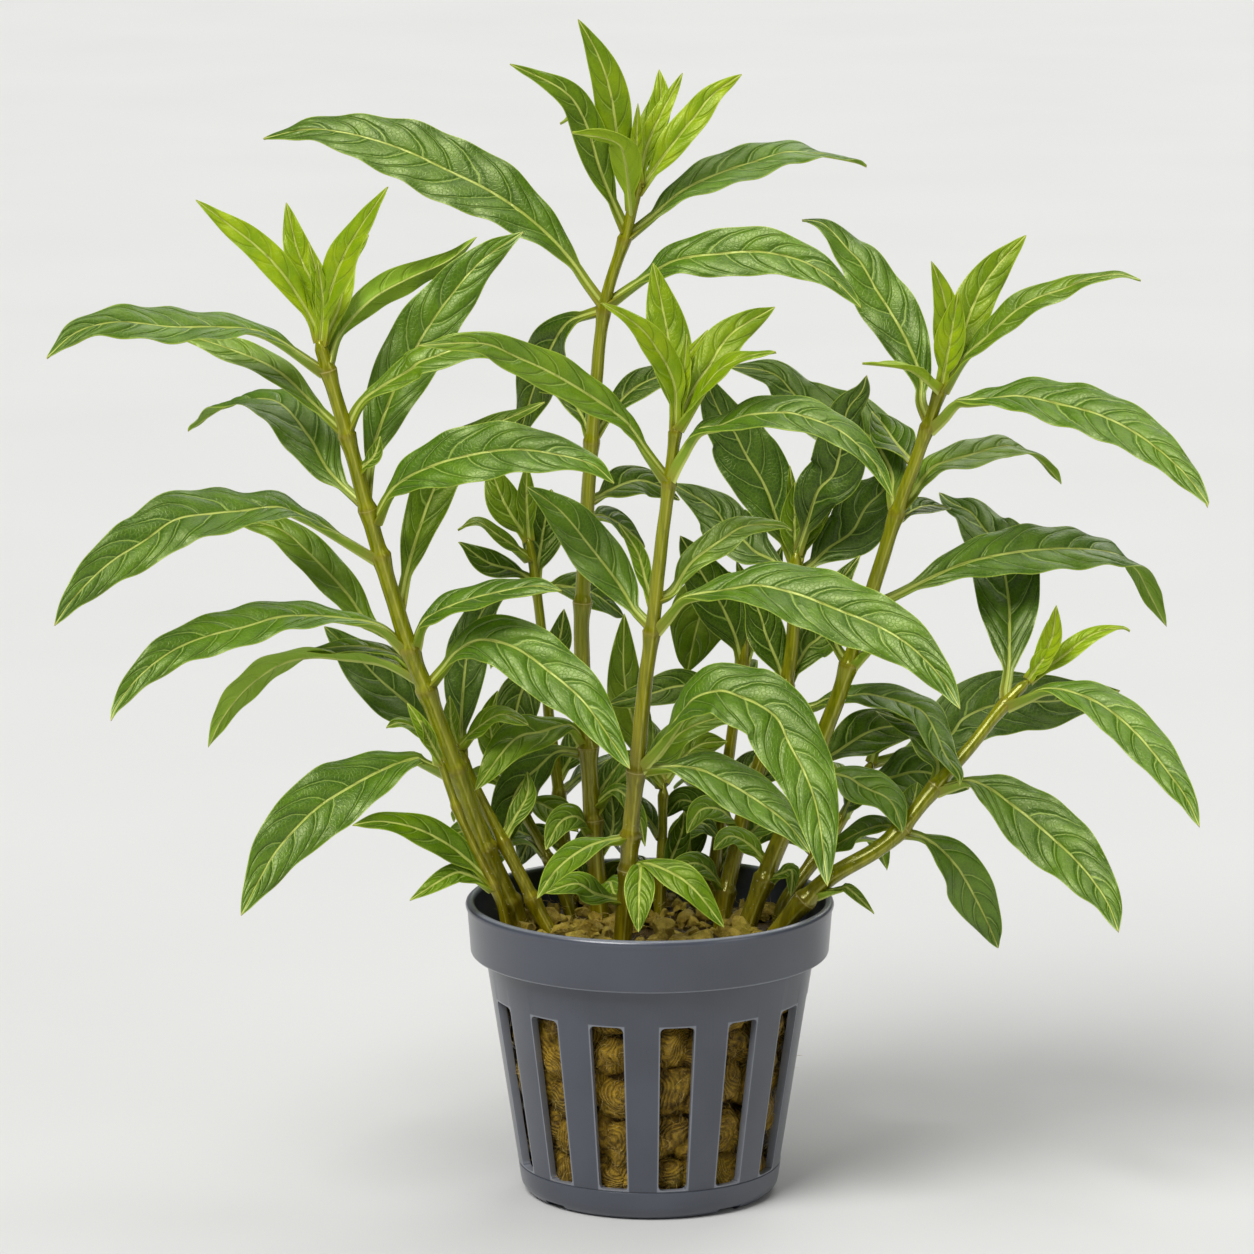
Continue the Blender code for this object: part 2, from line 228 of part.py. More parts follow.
# Young and small leaves, fused to the stem that they grow from: width, depths, turns and midrib.
SMALL_LEAVES = {
    "stem_left": [
        (4.4, (-14, -12), (40, 30, 30), [(-48.3, 127.9), (-50.1, 132.4), (-55.9, 140.8), (-66.4, 149.3)]),
        (4.7, (-12, -9), (40, 30, 30), [(-48.3, 127.9), (-48.6, 134.8), (-51.5, 141.5), (-53.2, 148.9)]),
        (4.9, (-17, -19), (70, 50, 40), [(-47.9, 127.4), (-47.2, 134.2), (-44.4, 141.8), (-38.4, 151.2)]),
        (2.4, (-15, -14), (30, 30, 30), [(-48.2, 127.9), (-48.5, 136.5), (-50, 143)]),
        (2.2, (-16, -17), (30, 30, 30), [(-48.2, 127.9), (-48, 134.4), (-48.7, 140.3)]),
        (3.3, (-9, -2), (60, 60, 60), [(-48, 127.4), (-45.6, 133.3), (-44.4, 139.5), (-41.2, 144.2)]),
        (6.4, (-4, 1), (50, 45, 45), [
            (-36.4, 87.4), (-35.5, 95.5), (-31.6, 107), (-27.2, 113.6), (-15.5, 119.4)]),
        (2.3, (-15, -15), (30, 30, 30), [(-43, 109), (-40.7, 111.3), (-39.7, 114.3)]),
        (3.9, (-8, -5), (70, 70, 70), [(-34.8, 78.9), (-38.1, 81.7), (-44, 82.8), (-51.8, 82)]),
    ],
    "stem_left_thin": [
        (5.4, (-14, -19), (50, 40, 40), [
            (-23.6, 46.4), (-26.9, 50), (-30.5, 52.9), (-35, 55.2), (-40, 56.2), (-44.2, 55.7)]),
        (3.3, (-13, -16), (60, 40, 40), [(-23, 45.9), (-27.4, 48.1), (-29.8, 48), (-35.8, 44.2)]),
        (2.5, (-14, -13), (60, 40, 40), [(-31, 64.9), (-33.5, 70.1), (-36, 74.2)]),
        (2, (-15, -19), (60, 40, 40), [(-31, 64.9), (-32.9, 68.9), (-33.9, 71.5)]),
    ],
    "stem_low_left": [
        (4.7, (-4, -7), (60, 60, 50), [(-28.8, 67.4), (-33.8, 69.8), (-36.8, 71.2), (-39.1, 70.6)]),
        (5, (-3, -6), (60, 60, 50), [(-28.8, 67.4), (-25.5, 70.4), (-22, 72.4), (-18, 70.9)]),
        (2.5, (0, 0), (30, 30, 30), [(-28.8, 67.4), (-29.5, 71.4), (-29.7, 75.3)]),
        (3.2, (-2, 1), (60, 40, 40), [(-22, 53.2), (-20.1, 56.7), (-18.2, 60.4), (-18.2, 63.8)]),
        (4, (1, 4), (60, 40, 40), [(-21.5, 52.6), (-25, 54.9), (-28.5, 54.4), (-31.5, 51.4)]),
    ],
    "stem_low_back_left": [
        (4.8, (9, 5), (60, 35, 30), [(-19, 57.9), (-17, 59.1), (-13.9, 57.6), (-10.7, 54.7)]),
        (4.5, (17, 19), (40, 30, 30), [(-20.4, 60.9), (-22.7, 66.5), (-23.8, 71.4), (-22.6, 76.1)]),
        (4.4, (17, 21), (60, 60, 80), [(-20.2, 60.4), (-25, 63.3), (-28, 60), (-29.3, 56.3)]),
        (4.5, (17, 20), (60, 60, 60), [(-20.4, 60.9), (-18.5, 66.4), (-17.5, 71.4)]),
        (4.5, (14, 19), (80, 90, 110), [(-15.3, 50.8), (-18, 53.4), (-21.5, 52.4), (-24, 48.4)]),
        (4, (9, 9), (60, 40, 35), [(-14.5, 48.9), (-11.5, 50.9), (-9, 49.4), (-7.5, 45.9)]),
        (4.2, (16, 20), (60, 50, 50), [(-15.2, 50.9), (-18, 53.9), (-21.5, 54.9), (-25, 52.4)]),
    ],
    "stem_middle": [
        (5, (17, 20), (60, 40, 40), [(2, 61.9), (4.5, 65.4), (7.5, 67.9), (11.5, 68.4)]),
        (4.9, (12, 11), (60, 40, 35), [(2, 61.4), (-0.9, 64.8), (-4.1, 64), (-6.4, 59.2)]),
        (5.9, (20, 24), (40, 30, 30), [
            (2, 61.9), (-0.7, 66.8), (-2.9, 72.9), (-3.9, 79.3), (-3.8, 87.7)]),
        (5.9, (20, 26), (70, 80, 90), [(2, 61.9), (0.1, 66.2), (-0.5, 70.1), (-2.1, 73)]),
        (3.6, (8, 5), (50, 35, 35), [(1.6, 47.4), (3.2, 50.5), (4.7, 54.4), (5.1, 57.6)]),
        (3.9, (15, 20), (80, 90, 110), [(1.7, 47.9), (-2, 50.3), (-5.4, 49.8), (-7.4, 45.6)]),
        (4.5, (11.5, 13), (60, 50, 60), [(1.7, 51.4), (5, 54.9), (8, 55.9), (10.5, 53.4)]),
        (4.5, (17, 23), (60, 50, 60), [(1.8, 53.4), (-1, 57.4), (-4, 58.9), (-6.5, 56.9)]),
    ],
    "stem_tall": [
        (5.3, (1, 1), (30, 25, 25), [
            (-2.6, 150.4), (-4.3, 155.5), (-5.7, 164.5), (-7.6, 170.4), (-10.5, 175.7)]),
        (4.9, (0, -2), (50, 30, 30), [
            (-4, 144.4), (-7.1, 153), (-9.5, 160.7), (-12.7, 165.3), (-20.4, 169.2)]),
        (4.7, (-3, -6), (130, 120, 120), [(-3.2, 147.4), (-3.7, 155.3), (-5.2, 158.1), (-11.4, 159.3)]),
        (7.6, (11, 15), (45, 45, 50), [
            (-8.2, 133.2), (-11.8, 131.2), (-14.6, 127.2), (-17.2, 121), (-19.4, 113.5)]),
        (3.8, (7, 8), (40, 30, 30), [(-8.2, 50.4), (-5.7, 54.3), (-5.5, 58.4), (-6.4, 62.6)]),
        (4, (0, -4), (60, 40, 30), [(-8, 45.9), (-6, 46.9), (-5.4, 45.4), (-3.7, 43.2)]),
        (4.7, (4, 6), (40, 30, 30), [
            (-2.3, 149.9), (3.4, 157.6), (6.5, 161.5), (9.2, 164.8), (13.3, 167.7)]),
        (4.5, (8, 12), (50, 40, 40), [(-2.3, 150.4), (-0.6, 157.6), (1.4, 163.5), (1.3, 168.4)]),
        (3, (5, 7), (40, 30, 30), [(-2.2, 150.9), (0, 158.4), (4.7, 167.9)]),
        (1.8, (1, 0), (30, 30, 30), [(-2.3, 151.4), (-2, 157.4), (-1.8, 163.4)]),
        (4.2, (10, 16), (60, 60, 80), [(-2.6, 150.4), (-5.5, 157.8), (-9.8, 161.9), (-13.2, 160.6)]),
        (5.5, (10, 15), (60, 60, 60), [(-8.4, 113.4), (-5.6, 117.9), (-1.1, 122.1), (9.3, 126.1)]),
        (3.4, (8, 12), (60, 60, 80), [(-8.9, 113.4), (-10.2, 117.5), (-12.8, 120.8), (-16.5, 121)]),
        (6, (11, 15), (60, 45, 45), [(-9.2, 104.4), (-2.9, 107.5), (0.7, 107.1), (4.4, 104.8)]),
        (5.6, (12, 16), (55, 45, 45), [(-9.5, 102.4), (-6.6, 102.2), (-3.4, 100.4), (-0.7, 97.7)]),
        (6.1, (0, -5), (70, 40, 35), [
            (-9.3, 67.9), (-11.9, 70.7), (-16.1, 69.8), (-20.4, 68.4), (-26, 61)]),
        (6.8, (8, 8), (60, 35, 30), [
            (-9.2, 66.4), (-13.4, 66.8), (-16.2, 64.7), (-20, 60.4), (-23, 50.4)]),
        (2.9, (1, -1), (60, 40, 40), [(-8.6, 58.4), (-4.9, 61), (-1.9, 57.5), (-0.7, 52.4)]),
        (4.5, (0, -3), (60, 40, 35), [(-8.3, 54.4), (-11, 56.9), (-13.5, 55.9), (-15.5, 51.9)]),
        (4, (8, 11), (50, 45, 45), [(-8.6, 58.4), (-6.4, 62.4), (-4, 65.4), (-1.5, 65.9)]),
    ],
    "stem_front": [
        (4.3, (-26, -30), (60, 40, 35), [
            (3.7, 114.9), (3.4, 122.3), (0.1, 128.5), (-2.9, 131.5), (-7.1, 134.1)]),
        (6.3, (-19, -16), (30, 25, 25), [(3.8, 115.4), (3.3, 124.4), (2.2, 131.4), (0.4, 140)]),
        (5.9, (-19, -14), (50, 30, 30), [
            (4, 115.4), (6.4, 121.2), (8.7, 124.8), (11.9, 129.5), (18.3, 133.5)]),
        (5.3, (-28, -33), (80, 60, 60), [
            (4.2, 115.4), (8.3, 121.9), (10.6, 124.4), (14.2, 126.1), (18.4, 126.9)]),
        (2.2, (-23, -23), (30, 30, 30), [(3.9, 115.4), (4.2, 123.7), (8.4, 130.1)]),
        (2.2, (-24, -25), (30, 30, 30), [(3.9, 115.4), (4.8, 122.4), (5.4, 129.4)]),
        (2.6, (-17, -16), (50, 35, 35), [(0.4, 88.4), (-0.6, 92.4), (-1.9, 97), (-4.6, 101.2)]),
        (4.2, (-21, -26), (80, 40, 35), [
            (-3.1, 53.9), (-7.8, 52.9), (-11, 51.3), (-14.2, 48.5), (-16.8, 44.5)]),
        (4.5, (-20, -23), (80, 20, 15), [(-3.4, 48.9), (-1.5, 49.4), (-1.6, 45.4), (-1.7, 39.3)]),
        (4.6, (-20, -22), (80, 35, 30), [(-3.4, 48.9), (-0.5, 49.7), (3.8, 48), (7, 45.4), (11.1, 40)]),
        (4.3, (-16, -18), (60, 40, 40), [(-3.8, 43.9), (-8.1, 45.1), (-11, 46.7), (-15.6, 45.3)]),
    ],
    "stem_back_right": [
        (4.5, (14.5, 14.5), (30, 25, 25), [(21.5, 94.4), (21.3, 101.4), (21.3, 107.4)]),
        (3.7, (16, 18), (40, 30, 30), [(21.6, 94.4), (23.5, 100.7), (27.7, 105.9)]),
        (2.6, (16, 17), (40, 30, 30), [(21.7, 95.4), (24.8, 102.3), (28, 106.5)]),
        (2.5, (15, 15), (30, 30, 30), [(21.5, 94.4), (21.2, 102.4), (20.6, 109.9)]),
        (4.2, (20, 26), (60, 60, 60), [(21.6, 94.4), (21.9, 100.5), (23.2, 105.5)]),
        (5.9, (15, 16), (40, 35, 35), [(20, 76.4), (18.8, 80.5), (17.2, 84.4), (16, 88.3), (13.6, 92.1)]),
        (5.9, (16, 19), (40, 35, 35), [
            (20.2, 76.4), (21.9, 80), (23.4, 82.7), (25.4, 84.5), (28.8, 89.8)]),
        (4, (1, -2), (70, 40, 40), [(11.2, 45.4), (8, 49.4), (5, 49.4), (2, 46.4)]),
        (4.5, (9, 12), (60, 40, 40), [(12.8, 51.9), (16, 55.4), (18.5, 56.4), (21, 53.9)]),
        (4.5, (1, -2), (60, 40, 35), [(13.5, 54.9), (10.5, 57.9), (7.5, 57.9), (5.5, 54.4)]),
        (5, (12, 16), (50, 35, 40), [(14.9, 60.4), (18, 64.4), (20.5, 65.9), (23, 64.4)]),
    ],
    "stem_back_left": [
        (4.4, (22, 21), (50, 40, 40), [(-17, 92.4), (-20.1, 94.2), (-24, 95.4), (-28.2, 98.5)]),
        (4.1, (20, 17), (60, 60, 80), [(-17.4, 95.9), (-22.4, 99.4), (-25.5, 101.5), (-28.4, 100.4)]),
        (5.5, (25, 27), (40, 30, 30), [(-17.9, 98.4), (-21.4, 104.2), (-23.8, 110.3)]),
        (3, (24, 24), (30, 30, 30), [(-17.9, 98.4), (-18.2, 104.4), (-18.2, 110.2)]),
        (6.4, (26, 29), (40, 30, 30), [(-16.9, 92.4), (-15.7, 100.4), (-14.5, 106.4)]),
        (6.4, (25, 29), (55, 45, 50), [(-16.9, 91.4), (-13.5, 91.8), (-8.5, 90.8), (-3.8, 87.2)]),
        (6.7, (16, 14), (80, 35, 30), [(-15.4, 78.4), (-17.7, 78.5), (-19.7, 73.5), (-20.1, 66.4)]),
        (6.5, (31, 42), (80, 100, 120), [(-15.4, 78.4), (-16.4, 82.9), (-20.3, 84), (-23.6, 79.7)]),
        (5.4, (27, 34), (80, 90, 110), [(-13.5, 60.4), (-8.9, 64.1), (-3.9, 65.8), (1, 61.6)]),
        (4, (17, 17), (40, 30, 30), [(-15.4, 79.4), (-13.4, 83.8), (-12.7, 88.4)]),
        (4.5, (19, 24), (60, 50, 60), [(-12.3, 49.4), (-9.5, 52.9), (-6.5, 53.9), (-4, 51.4)]),
        (4.5, (18, 20), (60, 40, 35), [(-12.5, 51.4), (-15.5, 53.9), (-18, 52.9), (-19.5, 49.4)]),
        (5, (20, 24), (40, 35, 35), [(-13.7, 62.4), (-11.5, 66.4), (-10, 69.9), (-9.8, 73.4)]),
    ],
    "stem_back": [
        (8, (24, 24), (40, 30, 30), [(13.7, 79.4), (12.5, 84.5), (10.5, 89), (7.5, 94), (4.5, 99.4)]),
        (4.5, (27, 30), (40, 30, 30), [(13.8, 79.4), (15.3, 84.4), (16.3, 88.4), (19.5, 97.9)]),
        (5.8, (18, 15), (60, 40, 40), [(12.9, 74.4), (8, 76.5), (4, 76.7), (0.1, 75.6), (-6.5, 73.9)]),
        (9.8, (28, 31), (45, 35, 30), [(14.1, 85.9), (12, 90.4), (9.5, 90.2), (7.3, 86.9), (5.5, 78.9)]),
        (5.3, (17, 17), (40, 30, 30), [(9.2, 48.4), (6.2, 51.1), (6.5, 55.7), (10.6, 60)]),
        (3.6, (15, 13), (60, 40, 30), [(9, 47.4), (6, 48.2), (2.8, 48), (0.3, 43.8)]),
        (3.6, (32, 44), (70, 90, 110), [(13, 74.4), (14.1, 79.4), (14.3, 80.4), (14.2, 74.6)]),
        (2.5, (25, 26), (30, 30, 30), [(14.1, 86.4), (14.1, 91.5), (12.8, 95.6)]),
        (3, (27, 29), (30, 30, 30), [(14.1, 86.4), (15, 90.4), (16.4, 93.4)]),
        (6, (29, 40), (80, 90, 110), [(10.7, 58.4), (12, 63.4), (13, 64.4), (14, 59.4)]),
        (4.5, (20, 24), (60, 45, 45), [(9.4, 48.4), (12, 52.4), (14, 54.4), (17, 54.4)]),
        (4.8, (16, 16), (50, 35, 30), [(10.2, 54.9), (7.5, 58.4), (4.5, 59.4), (2.5, 56.9)]),
        (5, (23, 27), (50, 40, 40), [(10.8, 58.4), (13.5, 62.4), (15.5, 65.4), (18, 66.9)]),
        (4.5, (24, 30), (60, 70, 90), [(10.4, 55.9), (8.5, 60.4), (6, 62.9), (3.5, 61.4)]),
    ],
    "stem_right": [
        (4.1, (-7, -10), (110, 90, 90), [(42.4, 121.4), (39.5, 123.8), (37.3, 124.7), (31.2, 125.3)]),
        (4.1, (-4, -6), (50, 30, 25), [(42.7, 121.4), (43.5, 130.4), (43, 135), (41.2, 140.2)]),
        (6, (1, 5), (40, 30, 30), [
            (42.8, 121.4), (45.9, 129.7), (48.2, 135.6), (51.2, 140), (55, 144.1)]),
        (4.5, (-4, -5), (40, 30, 30), [(42.7, 121.4), (44, 128.4), (45.1, 135.7)]),
        (5.4, (3, 8), (60, 60, 60), [(42.6, 121.4), (45.1, 128.4), (45.9, 133)]),
        (7.1, (8, 13), (60, 35, 35), [(23.8, 64), (27.7, 66.7), (32.5, 69.8), (37, 70.7), (41.8, 69.8)]),
        (6.4, (8, 15), (60, 45, 45), [(38.5, 110.1), (36.1, 113.4), (34.3, 116), (32.6, 118)]),
        (3.9, (5, 9), (60, 60, 60), [(35.6, 101.3), (40.1, 103.8), (44.4, 103.6)]),
        (4.4, (4, 7), (60, 50, 60), [(29.3, 79.7), (27.4, 83.4), (27, 87.5), (27.8, 91.7), (31, 96.5)]),
        (5, (-3, -7), (80, 70, 70), [(29.4, 79.7), (33, 82.9), (36, 85.4), (41, 85.4)]),
        (2.4, (-4, -5), (70, 50, 50), [(16.5, 46.9), (19.5, 48.2), (21.2, 48.6), (21, 44.8)]),
        (4.2, (-1, -4), (60, 45, 45), [(17.5, 49.4), (14.5, 52.9), (11.8, 53.9), (9.5, 51.9)]),
        (4.5, (3, 6), (50, 40, 40), [(19.8, 55.4), (22.5, 59.4), (25, 61.9), (28, 62.4)]),
    ],
    "stem_low_right": [
        (3.2, (0, -2), (50, 30, 25), [(56, 77.4), (57.7, 80.5), (59.5, 84.1), (60.1, 88.9)]),
        (3.3, (2, 2), (60, 45, 70), [(56, 77.4), (60.4, 80.6), (65.1, 84.3), (69.6, 85.6), (71.1, 85.2)]),
        (2.9, (0, 0), (40, 30, 30), [(56, 77.4), (58.1, 80.6), (60.4, 83.2)]),
        (3.4, (4, 9), (60, 60, 60), [(56, 77.4), (58.9, 82.2), (59, 86.8)]),
        (5.8, (1, 6), (60, 45, 45), [(37, 55.4), (34, 55.4), (31, 54.4), (26.4, 51.8)]),
        (2, (-12, -15), (80, 60, 50), [(24, 45.2), (28.3, 45.9), (29.7, 45.9), (33.5, 42.2)]),
        (4.9, (3, 9), (40, 40, 70), [(42.3, 61.2), (42.8, 64.7), (41.6, 67.1), (40, 70.4), (33.5, 73)]),
        (4.1, (-3, 1), (40, 30, 30), [(37.4, 55.4), (39.1, 58.7), (39.8, 62.2)]),
    ],
    "stem_side_back": [
        (4, (19, 22), (40, 30, 30), [(32.9, 64.9), (33.5, 68.4), (33, 72.4)]),
        (3.5, (16, 16), (40, 30, 30), [(32.9, 64.9), (34.3, 68.6), (38.9, 69.4)]),
        (5.5, (21, 28), (80, 90, 110), [(30.8, 60.7), (27, 64.4), (24, 63.9), (21.5, 59.4)]),
        (4.7, (17, 23), (80, 90, 110), [(25.4, 51.4), (30.2, 53.4), (33.7, 53.1), (35.4, 49)]),
        (4.5, (15, 18), (60, 40, 40), [(24.9, 50.9), (21.5, 53.9), (18, 54.9), (15.5, 52.4)]),
        (4.5, (8, 7), (50, 40, 40), [(28, 56.4), (30.5, 60.4), (33.5, 62.4), (37, 61.4)]),
    ],
}

MATERIALS = {
    "leaf_green": ((0.12, 0.27, 0.03, 1), 0.35),
    "young_leaf_green": ((0.32, 0.48, 0.03, 1), 0.4),
    "stem_olive": ((0.28, 0.27, 0.04, 1), 0.45),
    "pot_plastic": ((0.09, 0.1, 0.12, 1), 0.4),
    "rock_wool": ((0.34, 0.24, 0.08, 1), 0.95),
}


def clear_scene():
    for thing in list(bpy.data.objects):
        bpy.data.objects.remove(thing)


def material(name):
    """The named material, made on first use."""
    found = bpy.data.materials.get(name)
    if found:
        return found
    colour, roughness = MATERIALS[name]
    made = bpy.data.materials.new(name)
    made.use_nodes = True
    shader = made.node_tree.nodes["Principled BSDF"]
    shader.inputs["Base Color"].default_value = colour
    shader.inputs["Roughness"].default_value = roughness
    shader.inputs["Metallic"].default_value = 0.0
    return made


def add_object(name, vertices, faces, finish, smooth=True):
    """An object in metres from vertices in millimetres, with its faces turned outwards."""
    mesh = bpy.data.meshes.new(name)
    mesh.from_pydata([vertex * MM for vertex in vertices], [], faces)
    shape = bmesh.new()
    shape.from_mesh(mesh)
    bmesh.ops.recalc_face_normals(shape, faces=shape.faces)
    shape.to_mesh(mesh)
    shape.free()
    if smooth:
        mesh.shade_smooth()
        mesh.set_sharp_from_angle(angle=math.radians(40))
    mesh.materials.append(material(finish))
    made = bpy.data.objects.new(name, mesh)
    bpy.context.scene.collection.objects.link(made)
    return made


def hide_helper(helper):
    helper.hide_render = True
    helper.display_type = "WIRE"


def seen(x, z, depth):
    """The point at this depth that stands at (x, z) on the plane y = 0, seen from EYE."""
    share = 1 - depth / EYE.y
    return Vector((EYE.x + (x - EYE.x) * share, depth, EYE.z + (z - EYE.z) * share))


def seen_height(point):
    """The height on the plane y = 0 at which a point stands, seen from EYE."""
    return EYE.z + (point.z - EYE.z) / (1 - point.y / EYE.y)


def smooth_line(points, steps=10):
    """A line of short steps that passes smoothly through the points."""
    before = points[0] * 2 - points[1]
    after = points[-1] * 2 - points[-2]
    knots = [before, *points, after]
    line = []
    for a, b, c, d in zip(knots, knots[1:], knots[2:], knots[3:]):
        for step in range(steps):
            t = step / steps
            bend = (a * 2 - b * 5 + c * 4 - d) * t + (b * 3 - a - c * 3 + d) * t * t
            line.append(b + ((c - a) + bend) * (t / 2))
    return [*line, points[-1]]


def shares_of(line):
    """How far along the line each of its points lies, from 0 to 1."""
    lengths = [0.0]
    for start, end in zip(line, line[1:]):
        lengths.append(lengths[-1] + (end - start).length)
    return [length / lengths[-1] for length in lengths]


def point_at(line, shares, share):
    """The point and the direction at this share of the line's length."""
    for index in range(len(line) - 1):
        if shares[index + 1] >= share:
            break
    start, end = line[index], line[index + 1]
    part = (share - shares[index]) / (shares[index + 1] - shares[index])
    return start.lerp(end, part), (end - start).normalized()


def three_point(values, share):
    """The smooth value at this share, from those at the start, the middle and the end."""
    start, middle, end = values
    return (start * (1 - share) * (1 - 2 * share) + middle * 4 * share * (1 - share)
            + end * share * (2 * share - 1))


def tube_faces(rings, sides):
    """Faces of a tube with its first and last vertices as poles, and rings between them."""
    last = 1 + rings * sides
    faces = []
    for side in range(sides):
        beside = (side + 1) % sides
        faces.append((0, 1 + beside, 1 + side))
        faces.append((last, last - sides + side, last - sides + beside))
        for ring in range(rings - 1):
            low = 1 + ring * sides
            high = low + sides
            faces.append((low + side, low + beside, high + beside))
            faces.append((low + side, high + beside, high + side))
    return faces


def leaf_faces(rings):
    """Triangles of a lens-shaped leaf, split alike on both faces so that it stays apart when it twists."""
    last = 1 + rings * 4
    faces = []
    for side in range(4):
        beside = (side + 1) % 4
        faces.append((0, 1 + beside, 1 + side))
        faces.append((last, last - 4 + side, last - 4 + beside))
        for ring in range(rings - 1):
            low = 1 + ring * 4
            high = low + 4
            if side % 2 == 0:
                faces.append((low + side, low + beside, high + beside))
                faces.append((low + side, high + beside, high + side))
            else:
                faces.append((low + side, low + beside, high + side))
                faces.append((low + beside, high + beside, high + side))
    return faces


def stem_line(name):
    return smooth_line([seen(*point) for point in STEMS[name][3]])


def stem_radius(name, height):
    """The stem's radius at a height of its line, without its swollen nodes."""
    bottom, top = STEMS[name][:2]
    low, high = ROOT_HEIGHT, STEMS[name][3][-1][1]
    share = min(max((height - low) / (high - low), 0.0), 1.0)
    return (bottom + (top - bottom) * share) / 2


def stem_rings(name, line):
    """(point, direction, radius) of each ring: two at each swollen node and some between them."""
    nodes = STEMS[name][2]
    heights = [seen_height(point) for point in line]
    low, high = heights[0] + 0.5, heights[-1] - 0.3
    stations = {low: 1.0, low + FOOT_LENGTH: 1.0, high: 1.0}
    for node in nodes:
        stations[node] = NODE_SWELLING
        stations[node + NODE_LENGTH] = 1.0
    ordered = sorted(stations)
    for start, end in zip(ordered, ordered[1:]):
        spans = math.ceil((end - start) / STEM_STEP)
        for span in range(1, spans):
            stations[start + (end - start) * span / spans] = 1.0
    rings = []
    for height in sorted(stations):
        point, direction = at_height(line, heights, height)
        rings.append((point, direction, stem_radius(name, height) * stations[height]))
    return rings


def at_height(line, heights, height):
    """The point and direction where the line is seen at this height."""
    for index in range(len(line) - 1):
        if heights[index + 1] >= height:
            break
    part = (height - heights[index]) / (heights[index + 1] - heights[index])
    step = line[index + 1] - line[index]
    return line[index] + step * min(max(part, 0.0), 1.0), step.normalized()


def round_tube(name, line, rings, finish):
    """A closed round tube through the rings, with its ends at the line's ends."""
    vertices = [line[0]]
    for point, direction, radius in rings:
        across = direction.cross(Vector((0, 1, 0))).normalized()
        over = across.cross(direction)
        for side in range(STEM_SIDES):
            angle = math.tau * side / STEM_SIDES
            vertices.append(point + (across * math.cos(angle) + over * math.sin(angle)) * radius)
    vertices.append(line[-1])
    return add_object(name, vertices, tube_faces(len(rings), STEM_SIDES), finish)


def blade_width(width, share):
    """The leaf's width: a winged stalk, then a lance-shaped blade with a drawn-out tip."""
    stalk = PETIOLE_WIDTH * (1 - share)
    if share <= BLADE_START:
        return stalk
    along = (share - BLADE_START) / (1 - BLADE_START)
    return max(stalk, width * math.sin(math.pi * along ** 0.88) ** (1.4 - 0.6 * along))


def leaf_line(stem, depths, points, fused):
    """The midrib from the stem's surface, or from its axis if the leaf is fused to it, to the tip."""
    line = stem_line(stem)
    heights = [seen_height(point) for point in line]
    root, direction = at_height(line, heights, points[0][1])
    flat = smooth_line([Vector((x, 0, z)) for x, z in points])
    shares = shares_of(flat)
    places = []
    for index, (x, z) in enumerate(points):
        depth = three_point((root.y, *depths), shares[index * 10])
        places.append(seen(x, z, depth))
    if fused:
        return smooth_line([root, *places[1:]])
    outward = places[1] - root
    outward = (outward - direction * outward.dot(direction)).normalized()
    radius = stem_radius(stem, points[0][1]) * NODE_SWELLING
    return smooth_line([root + outward * (radius + GAP), *places[1:]])


def add_leaf(name, stem, width, depths, turns, points, fused=False):
    """A closed lens-shaped leaf along its midrib, with four points round each ring."""
    line = leaf_line(stem, depths, points, fused)
    shares = shares_of(line)
    stations = LEAF_RINGS
    if fused:
        stations = SMALL_LEAF_RINGS if width > TINY_LEAF_WIDTH else TINY_LEAF_RINGS
        if width < TINIEST_LEAF_WIDTH:
            stations = TINIEST_LEAF_RINGS
    vertices = [line[0]]
    for share in stations:
        point, direction = point_at(line, shares, share)
        turn = math.radians(three_point(turns, share))
        face = Vector((0, -math.cos(turn), math.sin(turn)))
        face = (face - direction * face.dot(direction)).normalized()
        half = direction.cross(face) * (blade_width(width, share) / 2)
        thick = face * (three_point(LEAF_THICKNESS, share) / 2)
        vertices += [point + half, point + thick, point - half, point - thick]
    vertices.append(line[-1])
    finish = "young_leaf_green" if fused else "leaf_green"
    return add_object(name, vertices, leaf_faces(len(stations)), finish, smooth=False)


def add_stem(name):
    """A stem with its swollen nodes, and its shoot tip and small leaves fused to it."""
    line = stem_line(name)
    stem = round_tube(name, line, stem_rings(name, line), "stem_olive")
    leaves = bpy.data.collections.new(name + "_small_leaves")
    bpy.context.scene.collection.children.link(leaves)
    for number, row in enumerate(SMALL_LEAVES.get(name, []), 1):
        leaf = add_leaf(f"{name}_small_leaf_{number:02d}", name, *row, fused=True)
        bpy.context.scene.collection.objects.unlink(leaf)
        leaves.objects.link(leaf)
        hide_helper(leaf)
    if leaves.objects:
        union = stem.modifiers.new("Grow small leaves", "BOOLEAN")
        union.operation = "UNION"
        union.solver = "EXACT"
        union.use_self = True
        union.operand_type = "COLLECTION"
        union.collection = leaves
    return stem


def inner_radius(height):
    """The inner radius of the pot's tapered body."""
    share = (height - FOOT_HEIGHT) / (BAND_BOTTOM - FOOT_HEIGHT)
    return FOOT_TOP_RADIUS + (BODY_TOP_RADIUS - FOOT_TOP_RADIUS) * share - WALL


def pot_angles():
    """Angles round the pot, three to a slot: its two sides and the middle of the rib beside it."""
    pitch = 360 / SLOTS
    angles = []
    for slot in range(SLOTS):
        centre = FIRST_SLOT_ANGLE + slot * pitch
        angles += [centre - SLOT_HALF_ANGLE, centre + SLOT_HALF_ANGLE, centre + pitch / 2]
    return [math.radians(angle) for angle in angles]


